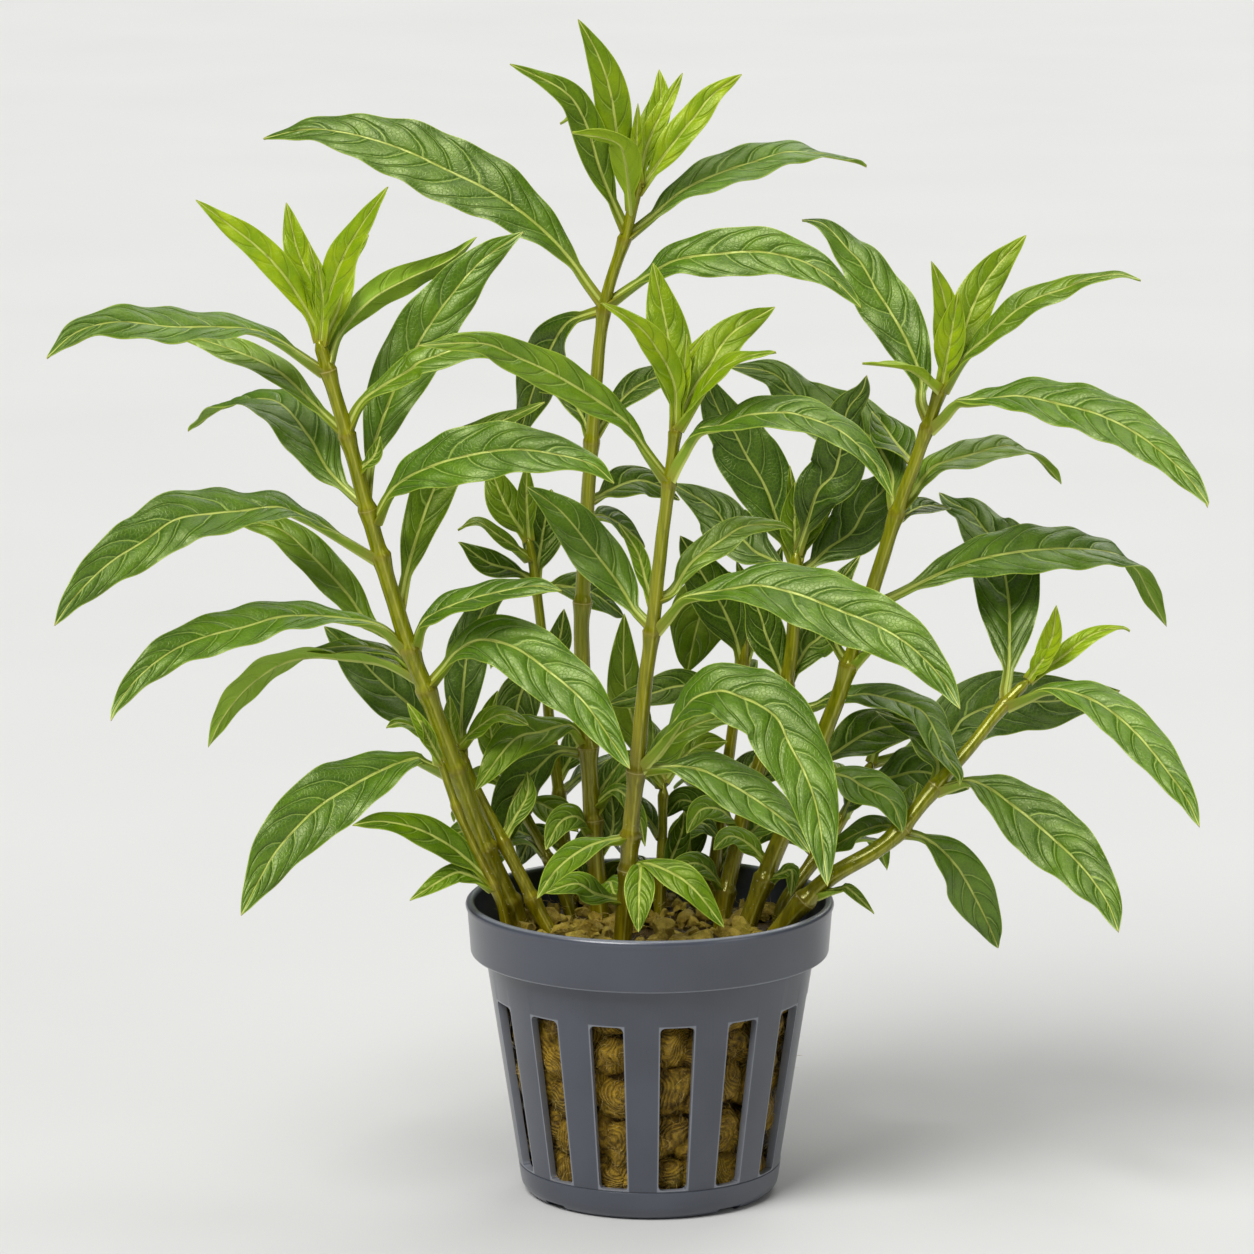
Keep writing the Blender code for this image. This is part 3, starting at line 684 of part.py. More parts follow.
def pot_profile():
    """(radius, height) down the outside from the rim, over the floor and up the inside."""
    slope = (BODY_TOP_RADIUS - FOOT_TOP_RADIUS) / (BAND_BOTTOM - FOOT_HEIGHT)
    outer_slot_top = FOOT_TOP_RADIUS + slope * (SLOT_TOP - FOOT_HEIGHT)
    outside = [
        (RIM_RADIUS - LIP_WIDTH / 2, RIM_HEIGHT), (RIM_RADIUS, RIM_HEIGHT - 0.5),
        (RIM_RADIUS - 0.4, RIM_HEIGHT - 1.6), (BAND_BOTTOM_RADIUS, BAND_BOTTOM),
        (BODY_TOP_RADIUS, BAND_BOTTOM - 0.2), (outer_slot_top, SLOT_TOP),
        (FOOT_TOP_RADIUS, FOOT_HEIGHT), (FOOT_RADIUS, 2.1), (BASE_RADIUS + 1.2, 0.5), (BASE_RADIUS, 0.0)]
    inside = [
        (BASE_RADIUS, FLOOR), (inner_radius(FOOT_HEIGHT), FOOT_HEIGHT),
        (outer_slot_top - WALL, SLOT_TOP), (BODY_TOP_RADIUS - WALL, BAND_BOTTOM + 0.4),
        (BAND_BOTTOM_RADIUS - WALL, BAND_BOTTOM + 1.4), (RIM_RADIUS - LIP_WIDTH, RIM_HEIGHT - 0.5)]
    return outside, inside


def add_pot():
    """The net pot: a turned wall with slots through its body, left open between its sides."""
    outside, inside = pot_profile()
    profile = outside + inside
    angles = pot_angles()
    count = len(profile)
    vertices = []
    for angle in angles:
        for radius, height in profile:
            vertices.append(Vector((radius * math.sin(angle), -radius * math.cos(angle), height)))
    under, floor = len(vertices), len(vertices) + 1
    vertices += [Vector((0, 0, 0)), Vector((0, 0, FLOOR))]
    slot_outside = [outside.index(point) for point in outside if point[1] == SLOT_TOP][0]
    slot_inside = len(outside) + 1
    foot = len(outside) - 1
    faces = []
    for turn in range(len(angles)):
        here, there = turn * count, (turn + 1) % len(angles) * count
        is_slot = turn % 3 == 0
        for row in range(count):
            below = (row + 1) % count
            if row == foot:
                faces += [(under, here + row, there + row), (floor, there + below, here + below)]
            elif not (is_slot and row in (slot_outside, slot_inside)):
                faces.append((here + row, here + below, there + below, there + row))
        if is_slot:
            corners = (slot_outside, slot_outside + 1, slot_inside, slot_inside + 1)
            for column in (here, there):
                faces.append(tuple(column + corner for corner in corners))
            faces.append((here + corners[0], there + corners[0], there + corners[3], here + corners[3]))
            faces.append((here + corners[1], there + corners[1], there + corners[2], here + corners[2]))
    return add_object("pot", vertices, faces, "pot_plastic")


def lump(x, y):
    """The uneven height of the rock wool's top, from two crossed waves."""
    return math.sin(x * 0.62 + y * 0.21 + 1.3) * math.cos(y * 0.55 - x * 0.17)


def add_wool():
    """The rock wool plug: it fills the pot's inside and has pockets for the stems' roots."""
    widest = math.cos(math.radians(SLOT_HALF_ANGLE))
    wall = [(inner_radius(FOOT_HEIGHT), FLOOR + 2 * GAP), (inner_radius(FOOT_HEIGHT), FOOT_HEIGHT),
            (inner_radius(SLOT_TOP), SLOT_TOP), (inner_radius(BAND_BOTTOM), BAND_BOTTOM - 0.3)]
    rings = [(radius * widest - GAP - 0.1, height) for radius, height in wall]
    rings[0] = (BASE_RADIUS - 1.5, FLOOR + GAP)
    top_radii = (22.9, 19.5, 13.5, 7)
    vertices = [Vector((0, 0, FLOOR + GAP))]
    for radius, height in rings:
        for side in range(WOOL_SIDES):
            angle = math.tau * side / WOOL_SIDES
            vertices.append(Vector((radius * math.sin(angle), -radius * math.cos(angle), height)))
    for number, radius in enumerate(top_radii):
        for side in range(WOOL_SIDES):
            angle = math.tau * side / WOOL_SIDES
            x, y = radius * math.sin(angle), -radius * math.cos(angle)
            height = WOOL_TOP - (1.0 if number == 0 else 0.0) + WOOL_LUMP * lump(x, y)
            vertices.append(Vector((x, y, height)))
    vertices.append(Vector((0, 0, WOOL_TOP)))
    faces = tube_faces(len(rings) + len(top_radii), WOOL_SIDES)
    wool = add_object("growing_medium", vertices, faces, "rock_wool")
    pockets = bpy.data.collections.new("root_pockets")
    bpy.context.scene.collection.children.link(pockets)
    for name in STEMS:
        pocket = add_pocket(name)
        bpy.context.scene.collection.objects.unlink(pocket)
        pockets.objects.link(pocket)
        hide_helper(pocket)
    cut = wool.modifiers.new("Root pockets", "BOOLEAN")
    cut.operation = "DIFFERENCE"
    cut.solver = "EXACT"
    cut.operand_type = "COLLECTION"
    cut.collection = pockets
    return wool


def add_pocket(name):
    """A cutter a little wider than the stem's foot, from just under its roots to above the wool."""
    foot = [point for point in stem_line(name) if point.z < WOOL_TOP + 4]
    radius = stem_radius(name, ROOT_HEIGHT) * NODE_SWELLING + GAP + 0.1
    rings = []
    for index in (0, len(foot) // 2, len(foot) - 1):
        ahead, behind = foot[min(index + 1, len(foot) - 1)], foot[max(index - 1, 0)]
        rings.append((foot[index], (ahead - behind).normalized(), radius))
    ends = [foot[0] - rings[0][1] * (2 * GAP), foot[-1] + rings[-1][1] * GAP]
    return round_tube(name + "_pocket", ends, rings, "rock_wool")


def main():
    clear_scene()
    add_pot()
    add_wool()
    for name in STEMS:
        add_stem(name)
    for name, row in LEAVES.items():
        add_leaf(name, *row)


main()
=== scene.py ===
"""The dressed look of a potted temple plant: veined leaves, ringed stems, slotted pot and rock wool.

Lengths are in millimetres until a mesh is made. Leaves and stems follow the same lines as their solids:
each is given as (x, z) on the upright plane through the origin, seen from EYE, with depths of its own
from the back (+) to the front (-).
"""

import math
import random

import bpy
import numpy as np
from mathutils import Matrix, Vector, noise


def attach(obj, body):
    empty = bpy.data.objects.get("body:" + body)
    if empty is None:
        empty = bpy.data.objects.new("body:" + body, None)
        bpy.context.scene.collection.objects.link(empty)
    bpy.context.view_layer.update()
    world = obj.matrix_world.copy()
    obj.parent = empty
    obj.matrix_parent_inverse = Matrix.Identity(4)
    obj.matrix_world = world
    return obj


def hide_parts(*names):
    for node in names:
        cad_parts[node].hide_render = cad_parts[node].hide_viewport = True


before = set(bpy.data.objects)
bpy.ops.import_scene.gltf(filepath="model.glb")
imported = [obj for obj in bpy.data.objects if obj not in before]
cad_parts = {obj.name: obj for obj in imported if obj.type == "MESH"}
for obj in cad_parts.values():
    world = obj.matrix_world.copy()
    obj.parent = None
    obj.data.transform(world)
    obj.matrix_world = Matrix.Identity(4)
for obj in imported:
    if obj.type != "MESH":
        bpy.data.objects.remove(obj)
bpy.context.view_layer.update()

MM = 0.001
EYE = Vector((-3.4, -946.0, 269.6))
AIM = Vector((-3.4, 0.0, 85.7))
VIEW_ANGLE = 11.0
SENSOR = 36.0
LINE_STEPS = 10

# Pot
RIM_HEIGHT = 44.5
RIM_RADIUS = 27.5
LIP = 1.4
BAND_BOTTOM = 36.5
BAND_RADIUS = 26.7
BODY_TOP = 24.5
FOOT_HEIGHT = 4.5
FOOT_TOP = 19.7
FOOT_RADIUS = 19.4
BASE_RADIUS = 17.3
WALL = 1.2
FLOOR = 1.6
SLOTS = 14
SLOT_HALF_ANGLE = 6.0
SLOT_TOP = 30.5
SLOT_CORNER = 0.8
FIRST_SLOT = 9.8
SLOT_BOTTOM = FOOT_HEIGHT + 0.25
SLOT_SPREAD = math.sin(math.radians(SLOT_HALF_ANGLE))
SLOT_PLAY = 0.1
SLOT_FOOT_HALF = FOOT_TOP * SLOT_SPREAD + SLOT_PLAY
BODY_SLOPE = (BODY_TOP - FOOT_TOP) / (BAND_BOTTOM - FOOT_HEIGHT)
TURN_STEPS = 224
FOOT_NOTCHES = (-75, -49, 39, 69.5, 105, 131, -141, -110.5)
NOTCH_HALF_WIDTH = 2.1
NOTCH_HEIGHT = 0.9
SLOT_CUT = (-30, -14)
NOTCH_CUT = (-22, -16.2)
SOFT_EDGE = 0.2
POT_SHARP_ANGLE = 42

# Rock wool: sizes are a least and a most
WOOL_TOP = 40.4
PLUG_SIDES = 120
CLUMP_SIZE = 3.2
LUMP_SIZES = (3.3, 4.2)
LUMP_DEPTH = 0.85
LUMP_STEPS = (1.65, 1.9)
SLOT_LUMP_DETAIL, RIB_LUMP_DETAIL = 4, 3
CHIPS = 200
LARGE_CHIPS = 110
LARGE_CHIP_SIZES = (1.5, 2.6)
SMALL_CHIP_SIZES = (0.8, 1.3)
CHIP_STRETCHES = ((0.8, 1.5), (0.6, 1.0), (0.5, 1.0))
CHIP_DETAIL, CHIP_FACETS = 3, 12
CHIP_REACH = 22.5
CHIP_SHARP_ANGLE = 24
FIBRE_REACH = 22.0
FIBRE_LENGTHS = (0.7, 2.2)
FIBRE_RADII = (0.03, 0.055)
FIBRE_RINGS, FIBRE_SIDES = 4, 3
FIBRES_IN_SLOTS = 5000
FIBRES_ON_TOP = 400
FOOT_CLEARANCE = 1.7

# Stems
ROOT_HEIGHT = 35.0
STEM_SIDES = 18
STEM_RIDGES = 4
RIDGE_HEIGHT = 0.045
RING_STEP = 0.55
NODE_SWELLING = 0.28
COLLAR_SWELLING = 0.06
FOOT_STEP = 7

# Leaves: folds at the base, middle and tip; puffs and ripples as a share of the width and a most
PETIOLE_WIDTH = 1.8
BLADE_START = 0.07
BLADE_THICKNESS = 0.26
SMALL_BLADE_THICKNESS = 0.2
SMALL_BLADE = 5.5
NARROW_LEAF = 6.4
SMALL_GRID_LEAF = 4.6
NARROW_BUD = 5.0
FRONT_DEPTH, BACK_DEPTH = 2, 12
TIP_REACH = 6
BUD_YOUTH = 0.9
LEAF_FOLD = (0.8, 0.26, 0.12)
BUD_FOLD = (0.9, 0.5, 0.3)
VEIN_SPACING = 4.6
FEWEST_VEINS, MOST_VEINS = 5, 12
PUFF, MOST_PUFF = 0.034, 0.3
RIPPLE, MOST_RIPPLE = 0.04, 0.38
SWAY = 0.05
LEAF_GRID = (20, 80)
SMALL_GRID = (14, 52)
SMALLEST_GRID = (12, 34)
LEAF_SHARP_ANGLE = 60

# Studio: each light's place, its spread in degrees and its strength
LIGHTS = {
    "key_light": ((-0.4, -0.55, 0.9), 32, 3.1),
    "fill_light": ((0.75, -0.5, 0.5), 32, 0.4),
    "top_light": ((0.1, 0.1, 1.0), 34, 0.8),
    "back_light": ((0.3, 0.8, 0.75), 34, 0.7),
}
LIT_POINT = Vector((0, 0, 0.09))
SKY_STRENGTH = 0.14
FLOOR_SIZE = 8

# Each stem: diameters at the wool and at the top, seen heights of its nodes, and its line as
# (x, z, depth) from the roots to the shoot tip.
STEMS = {
    "stem_left": (3, 1.9, (43.9, 52.2, 64.2, 76.2, 82.4, 96.4, 103.4, 114.4, 124.1), [
        (-18, 36, -3), (-20.7, 43.5, -3.5), (-24.5, 52.2, -5), (-28.8, 64.2, -7), (-33.2, 76.2, -9),
        (-35.6, 82.4, -10), (-39.8, 96.4, -12), (-44.6, 114.4, -14), (-48.7, 128.9, -15)]),
    "stem_left_thin": (1.5, 1.1, (46.4, 58.4), [
        (-21, 36, -9), (-22.3, 44, -10), (-26.2, 52.4, -11.5), (-28.8, 58.4, -12.5),
        (-31.3, 65.9, -13.5)]),
    "stem_low_left": (2.2, 1.4, (44.4, 52.9, 65.4), [
        (-13, 36, -6), (-15.8, 41, -5.5), (-19.5, 48.4, -4.5), (-22, 53.4, -3.5), (-26, 61.4, -1.5),
        (-29, 68.4, 0)]),
    "stem_low_back_left": (1.9, 1.3, (50.4, 57.9), [
        (-10, 36, 7), (-12.5, 44, 8.5), (-15.5, 51.4, 10.5), (-19, 57.9, 13), (-20.6, 61.4, 14.5)]),
    "stem_middle": (1.9, 1.2, (47.4, 59.9), [
        (1.3, 36, 7), (1.6, 47, 9.5), (1.9, 55.4, 12), (2, 62.4, 14)]),
    "stem_tall": (2.8, 1.5, (56.4, 67.4, 89.4, 113.4, 132.9, 143.4), [
        (-7, 36, 4), (-8.5, 56, 5), (-9.1, 66.4, 5.5), (-10.1, 82.4, 6), (-9.7, 95.4, 6),
        (-8.6, 113.4, 5), (-6.8, 132.9, 4), (-3.8, 143.4, 3), (-1.5, 152.4, 2)]),
    "stem_front": (2.7, 1.6, (48.9, 54.1, 63.9, 84.9, 107.2, 115.4), [
        (-4.3, 36, -13), (-3.2, 48.5, -14.5), (-2.9, 54.1, -15), (-2, 63.9, -16.5), (-0.8, 76.4, -18),
        (0.3, 84.9, -19), (1.6, 97.4, -21), (2.8, 107.2, -22), (3.9, 116.4, -23)]),
    "stem_back_right": (2.6, 1.8, (45.4, 72.9, 76.7, 94.4), [
        (10.3, 36, 2), (11.3, 45, 4), (13, 52.4, 6), (14, 57.4, 7), (16.5, 65.4, 9.5), (19.5, 73.9, 12),
        (20.2, 76.7, 12.5), (21.2, 84.7, 14), (21.6, 97.4, 15)]),
    "stem_back_left": (2, 1.3, (60.4, 78.4, 92.4), [
        (-11, 36, 12), (-13, 56, 17), (-15, 72.4, 20), (-15.5, 80.4, 21.5), (-17, 92.9, 23),
        (-18, 99.4, 24)]),
    "stem_back": (2.3, 1.3, (58.4, 74.4, 79.9), [
        (8, 36, 15), (10, 52, 18), (11.5, 64.4, 21), (13, 75.4, 23), (13.8, 79.9, 24), (14.2, 87.4, 25)]),
    "stem_right": (2.9, 1.7, (47.4, 63.6, 79.9, 87.9, 102.7, 115.6, 121.2), [
        (13, 36, -3), (16.2, 45, -2), (19.8, 54.4, -1), (23.8, 64.2, 0), (25.6, 68.9, 0.5),
        (28.5, 76.9, 1), (31.9, 87.9, 1), (35.2, 98.9, 0), (36.4, 102.9, 0), (39.2, 110.9, -1),
        (40.8, 115.6, -1.5), (43.1, 122.4, -2)]),
    "stem_low_right": (3, 1.5, (44.2, 55.3, 61.4, 74), [
        (17.5, 37.2, -7), (22, 42.9, -8.5), (26.9, 47.7, -9), (33.4, 51.6, -8), (37.5, 55.2, -6.5),
        (42.2, 61.2, -4.5), (47.3, 67.2, -2), (52.6, 74, 0), (56.3, 77.8, 1)]),
    "stem_side_back": (2.3, 1.6, (51.4, 60.9), [
        (19, 37, 4), (20, 43.5, 5), (25.3, 51.4, 9), (28.5, 56.4, 12), (31, 60.9, 15), (33, 65.4, 17)]),
}

# How far above BROWN_START each stem's brown foot fades out, where it isn't OTHER_BROWN.
STEM_BROWN = {"stem_front": 60, "stem_tall": 50, "stem_back_right": 55, "stem_right": 30,
              "stem_low_right": 12, "stem_left": 22, "stem_back": 70, "stem_back_left": 40}
OTHER_BROWN = 26
BROWN_START = 40

# The stems whose leaves lie in the plant's own shade; their greens are painted darker for it.
SHADED = {"stem_back", "stem_back_right", "stem_back_left", "stem_low_back_left", "stem_middle",
          "stem_side_back", "stem_low_left", "stem_left_thin"}

# Each full-grown leaf: its stem, width, depths at the middle and the tip, how far its upper face is
# turned at the base, middle and tip (0 faces the front, 90 faces up, 180 faces the back), and its
# midrib from the node to the tip.
LEAVES = {
    "leaf_left_01": ("stem_left", 8.2, (-20, -30), (75, 62, 55), [
        (-48, 123.7), (-56.2, 129.4), (-63.1, 130.4), (-70, 130.5), (-78, 131.2), (-84, 129.8),
        (-88.6, 126)]),
    "leaf_left_02": ("stem_left", 4.6, (-5, 6), (160, 170, 170), [
        (-46, 124.4), (-45.6, 129.7), (-40.9, 134.7), (-35.6, 137.7), (-29.6, 140.4), (-25.5, 143.8)]),
    "leaf_left_03": ("stem_left", 4.9, (-10, -6), (60, 50, 50), [
        (-45.3, 114.2), (-50.1, 119.6), (-54.6, 123.9), (-60, 126.6), (-71.3, 130.5)]),
    "leaf_left_04": ("stem_left", 5.6, (-16.5, -17), (60, 45, 45), [
        (-43.3, 114.9), (-42.6, 119.1), (-39.9, 121.3), (-35.4, 124), (-33, 125.6), (-23.8, 127.9),
        (-14, 123.5)]),
    "leaf_left_05": ("stem_left", 9.5, (-2, 9), (60, 60, 125), [
        (-43, 103.4), (-47.4, 109.1), (-50.1, 114), (-54.5, 119.2), (-60, 119.7), (-63.4, 118.5),
        (-68, 115.3)]),
    "leaf_left_06": ("stem_left", 9, (-21, -27), (60, 35, 35), [
        (-42.8, 100.9), (-38, 106.2), (-33, 109.4), (-27.2, 111.3), (-20, 112.3), (-13.5, 111.5),
        (-8.6, 110.1), (-5.3, 107.3)]),
    "leaf_left_07": ("stem_left", 9.2, (-6, -1), (40, 30, 30), [
        (-40.9, 104.4), (-41.2, 110.5), (-39.7, 115.7), (-36.9, 122.7), (-33.4, 129.1), (-29.4, 134.9),
        (-24.8, 140.2), (-18.6, 144.6)]),
    "leaf_left_08": ("stem_left", 10.1, (-20, -34), (95, 50, 25), [
        (-41, 95.9), (-47.4, 100.4), (-51.2, 102.3), (-55.1, 103.6), (-60, 103.1), (-64.6, 102.7),
        (-70, 101.8), (-74.7, 98.6), (-80, 95.2), (-84.9, 90.4), (-88.1, 86)]),
    "leaf_left_09": ("stem_left", 7.6, (-19, -30), (80, 50, 40), [
        (-36.5, 81.9), (-39.8, 85.8), (-45, 86.9), (-50, 87.3), (-55, 87.1), (-59.9, 85.7),
        (-65.1, 84.4), (-70.5, 82.2), (-75.5, 78.4), (-79, 73.9), (-80, 71.6)]),
    "leaf_left_10": ("stem_left", 6, (-6, -1), (50, 40, 40), [
        (-36.5, 82.9), (-41.6, 86.2), (-45, 90.9), (-50, 96.4), (-54.9, 100.5), (-62.6, 102.3)]),
    "leaf_left_11": ("stem_left", 6.7, (-15, -19), (70, 60, 55), [
        (-35.5, 81.9), (-33.5, 86.4), (-28, 89.4), (-21.7, 91.1), (-17, 91.8), (-13.1, 91.2)]),
    "leaf_left_12": ("stem_left", 6, (-4, 5), (80, 125, 140), [
        (-34.5, 77.9), (-37.1, 79.8), (-40, 80.9), (-45, 81.4), (-50, 81.6), (-54.9, 80.3),
        (-59.8, 76.7), (-63.3, 72.3), (-65.6, 67.7)]),
    "leaf_left_13": ("stem_left", 9.2, (-18, -28), (60, 30, 20), [
        (-31.8, 76.4), (-30.8, 79.3), (-28.6, 81.9), (-25, 83.7), (-19.9, 82.5), (-15.1, 79.1),
        (-10, 74.6), (-5.7, 68.5), (-3, 64.3)]),
    "leaf_left_14": ("stem_low_left", 8.7, (4, 8), (40, 35, 35), [
        (-28.6, 65.7), (-32.3, 70.1), (-34.4, 72.7), (-40.1, 77.8), (-42.6, 80.4), (-48.2, 85.8)]),
    "leaf_left_15": ("stem_left", 10.1, (-17, -28), (85, 30, 25), [
        (-29.7, 62.9), (-33.6, 65.3), (-34.9, 65.7), (-39.5, 64.1), (-44.3, 61.6), (-49.8, 58),
        (-55.1, 52.4), (-57.9, 47.9), (-61, 41.9)]),
    "leaf_left_16": ("stem_low_left", 6.4, (3, 6), (50, 40, 40), [
        (-28, 65.7), (-28, 71.4), (-27.5, 78.4), (-26.7, 83.4), (-24.2, 88.9), (-20, 92.4)]),
    "leaf_tall_01": ("stem_tall", 7.9, (9, 18), (60, 60, 110), [
        (-3.2, 143.6), (0.2, 146.7), (4.8, 150.6), (10, 153.1), (15.1, 154.8), (20, 156.3), (25, 156),
        (29.8, 155.1), (31.6, 154.4)]),
    "leaf_tall_02": ("stem_tall", 10.4, (11, 20), (50, 35, 45), [
        (-8, 133.4), (-9.3, 137), (-11.5, 140.2), (-15.1, 144.2), (-20, 148.3), (-24.6, 151.2),
        (-30, 153.8), (-35, 156.2), (-40, 158), (-45, 159.2), (-50, 159.6), (-56.5, 158.3)]),
    "leaf_tall_03": ("stem_tall", 7.8, (-1, -8), (70, 35, 35), [
        (-5.5, 133.9), (-2.4, 136.8), (0.4, 138.5), (4.4, 140.5), (10, 141.3), (16, 141.6),
        (22.1, 140.3), (26.9, 137.5), (30.5, 133.9), (30.9, 133.4)]),
    "leaf_tall_04": ("stem_tall", 5.1, (4, 2), (60, 45, 45), [
        (-8, 56.4), (-6, 60.8), (-2.6, 64.2), (1, 65.4), (4.5, 69.6), (9.8, 71.8), (15, 71.6)]),
    "leaf_front_01": ("stem_front", 5.9, (-27, -33), (70, 35, 35), [
        (2, 107.6), (-0.2, 111.6), (-2.8, 115.4), (-4.7, 117.3), (-9.8, 120.9), (-14.7, 123.8),
        (-19.7, 126.1), (-24.8, 128.1), (-34, 127.8)]),
    "leaf_front_02": ("stem_front", 6.7, (-30, -38), (100, 55, 45), [
        (3.7, 107.7), (4.6, 111.5), (6.9, 115), (10.3, 115.8), (13.3, 117.1), (16.2, 117.6),
        (20.6, 117.7), (25, 116.4), (28.1, 115), (31.1, 112.5), (33.4, 109.8), (34.9, 107),
        (35.8, 105.1)]),
    "leaf_front_03": ("stem_front", 7.6, (-12, -9), (50, 35, 35), [
        (-1, 85.4), (-2.4, 88.4), (-4.7, 92.2), (-9.4, 98.5), (-13.3, 103.2), (-18.2, 106.8)]),
    "leaf_front_04": ("stem_front", 10.3, (-28, -42), (95, 35, 25), [
        (0.8, 84.9), (2.2, 87.2), (4.4, 89.8), (7.2, 90.6), (10.3, 91), (13.2, 91.5), (16.2, 91.9),
        (21.9, 90.6), (27.7, 88.3), (33.8, 85.8), (38.8, 82.6), (43.2, 78), (46, 73.4)]),
    "leaf_front_05": ("stem_front", 4.7, (-17, -14), (60, 45, 45), [
        (1.5, 89.7), (3.4, 91.1), (6.1, 95.3), (10.3, 98.6), (14, 100.8), (19, 101), (21, 100.2)]),
    "leaf_front_06": ("stem_front", 10.5, (-28, -42), (95, 35, 15), [
        (-0.5, 63.9), (2, 68.9), (5, 72.9), (6.9, 75), (10.5, 76), (13.9, 74.9), (16.1, 73.9),
        (18.9, 71.8), (20.8, 67.8), (23.1, 63.4), (25, 57.4), (26.5, 46.4)]),
    "leaf_front_07": ("stem_front", 7.8, (-21, -29), (80, 40, 30), [
        (-0.7, 64.2), (3, 64.5), (7, 64.1), (9.8, 63), (14.9, 60.1), (20.3, 56), (23.8, 51.5)]),
    "leaf_back_right_01": ("stem_back_right", 9.5, (17, 18), (40, 25, 25), [
        (20.5, 94.4), (18.6, 102.1), (17.4, 105.7), (16, 108.5), (14, 111.7), (12.5, 114.7),
        (10.4, 117.5), (7.5, 124.1)]),
    "leaf_back_right_02": ("stem_back_right", 7.6, (22, 27), (50, 30, 30), [
        (20.3, 92.9), (18.4, 95.5), (15.5, 97), (13.5, 99), (11.3, 100.8), (9.2, 103.6), (3.2, 107.3)]),
    "leaf_back_right_03": ("stem_back_right", 8.7, (18, 20), (50, 30, 30), [
        (22, 93.4), (24.1, 95.3), (26.4, 97.5), (29.8, 100), (31.8, 103.6), (34.5, 106.3), (37.6, 110.5)]),
    "leaf_back_right_04": ("stem_back_right", 8.2, (10.5, 7), (30, 20, 20), [
        (21.7, 96.4), (23.2, 101.3), (24.7, 106), (27.1, 108.8), (28.1, 112.8), (28.9, 117.9),
        (31.1, 121), (31.8, 123.3)]),
    "leaf_back_right_05": ("stem_back_right", 6.1, (4, -13), (70, 60, 50), [
        (20.5, 72.7), (24.2, 73.8), (26.3, 74.7), (29.9, 75.2), (32, 75.5), (34.8, 75), (38.2, 74),
        (40.8, 72.5), (42.6, 69.3), (43.9, 66.3), (45.9, 63.5), (46.1, 61.8)]),
    "leaf_right_01": ("stem_right", 4.9, (-7, -10), (70, 50, 60), [
        (43.4, 120.7), (45.9, 125.7), (48.8, 128.4), (51.4, 130.9), (54.1, 133.3), (57.1, 135),
        (60.2, 136), (63.1, 137.2), (65.9, 138), (68.8, 138.3), (71.9, 137.5)]),
    "leaf_right_02": ("stem_right", 8, (7, 14), (40, 30, 60), [
        (39.5, 116.2), (39.8, 119.4), (39.8, 122.5), (39, 125.3), (37.1, 129.5), (35, 133.1),
        (33, 136.2), (30.9, 139.9), (28.9, 142), (26.9, 144.3), (24.9, 145.9), (22.2, 146.4)]),
    "leaf_right_03": ("stem_right", 8.7, (-12, -28), (100, 45, 30), [
        (41.5, 115.1), (43, 117.4), (44.9, 119.5), (47, 119.6), (50.1, 119.8), (54.5, 120.2),
        (60.2, 119), (66.2, 117.4), (72, 114.4), (77.9, 109.6), (81.8, 104.9), (82.2, 103.8)]),
    "leaf_right_04": ("stem_right", 9.4, (18, 26), (40, 30, 35), [
        (35, 102.2), (35.6, 105.5), (35.5, 109), (32.4, 114), (27.6, 116.9), (22.1, 119.7), (19, 123),
        (16.1, 124.2), (11.6, 124.6)]),
    "leaf_right_05": ("stem_right", 6.3, (8, 18), (60, 60, 130), [
        (36.8, 102.6), (38.6, 105.4), (40.4, 108.1), (42.3, 110), (46.9, 111.4), (50.7, 112.5),
        (53, 112.8), (56.8, 111.6), (59.2, 109.2), (60.6, 107.4)]),
    "leaf_right_06": ("stem_right", 9, (10, 26), (60, 45, 150), [
        (32.3, 88.3), (34.6, 89.6), (36.9, 90.7), (40.2, 92.4), (46.2, 95.1), (52, 96.6), (57.8, 97.3),
        (63.8, 97.4), (68.8, 96.7), (71.9, 94.7), (73.8, 91), (76.4, 86)]),
    "leaf_right_07": ("stem_right", 6.6, (-6, -11), (80, 50, 40), [
        (24.8, 63.6), (29, 63), (31.8, 61.4), (35.6, 59.5), (37.2, 56.2), (37.6, 54.5)]),
    "leaf_low_right_01": ("stem_low_right", 10.1, (13, 30), (50, 25, 50), [
        (52.3, 74.2), (52.7, 76), (53, 78.2), (53.2, 80.5), (53.2, 83.5), (53.2, 86.5), (53.1, 89.3),
        (52.5, 93.4), (52.1, 97.6), (49.5, 100.2), (47.3, 102.9), (44.4, 104.4), (42.6, 105.9)]),
    "leaf_low_right_02": ("stem_low_right", 7, (-11, -26), (100, 40, 25), [
        (53, 73.9), (55.6, 75.2), (58.6, 76.3), (62.5, 75.8), (67.4, 73.6), (72.4, 69.4), (76.8, 64),
        (79.9, 59.6), (81.8, 55.5)]),
    "leaf_low_right_03": ("stem_low_right", 9.7, (-14, -28), (90, 30, 25), [
        (43.1, 60.9), (44.8, 61.9), (47.2, 62.4), (50, 61.4), (53.2, 59.2), (56.6, 56.6), (60, 53.6),
        (63.2, 50.6), (66, 47.3), (68.4, 43.6), (70, 39.4)]),
    "leaf_low_right_04": ("stem_low_right", 7.4, (-3, 2), (60, 30, 25), [
        (37.9, 54.6), (40, 54), (41.8, 53), (43.6, 51.6), (46.1, 48.8), (48.2, 45.2), (50.2, 41.2),
        (52.1, 36.8)]),
    "leaf_side_back_01": ("stem_side_back", 10.8, (23, 29), (50, 35, 35), [
        (33, 64.9), (36.3, 65.9), (40.4, 67.1), (44.6, 69.3), (46.4, 71.7), (49.9, 73.5), (54.2, 74.3),
        (57.1, 74.4), (60.9, 74.6), (69.7, 76.1)]),
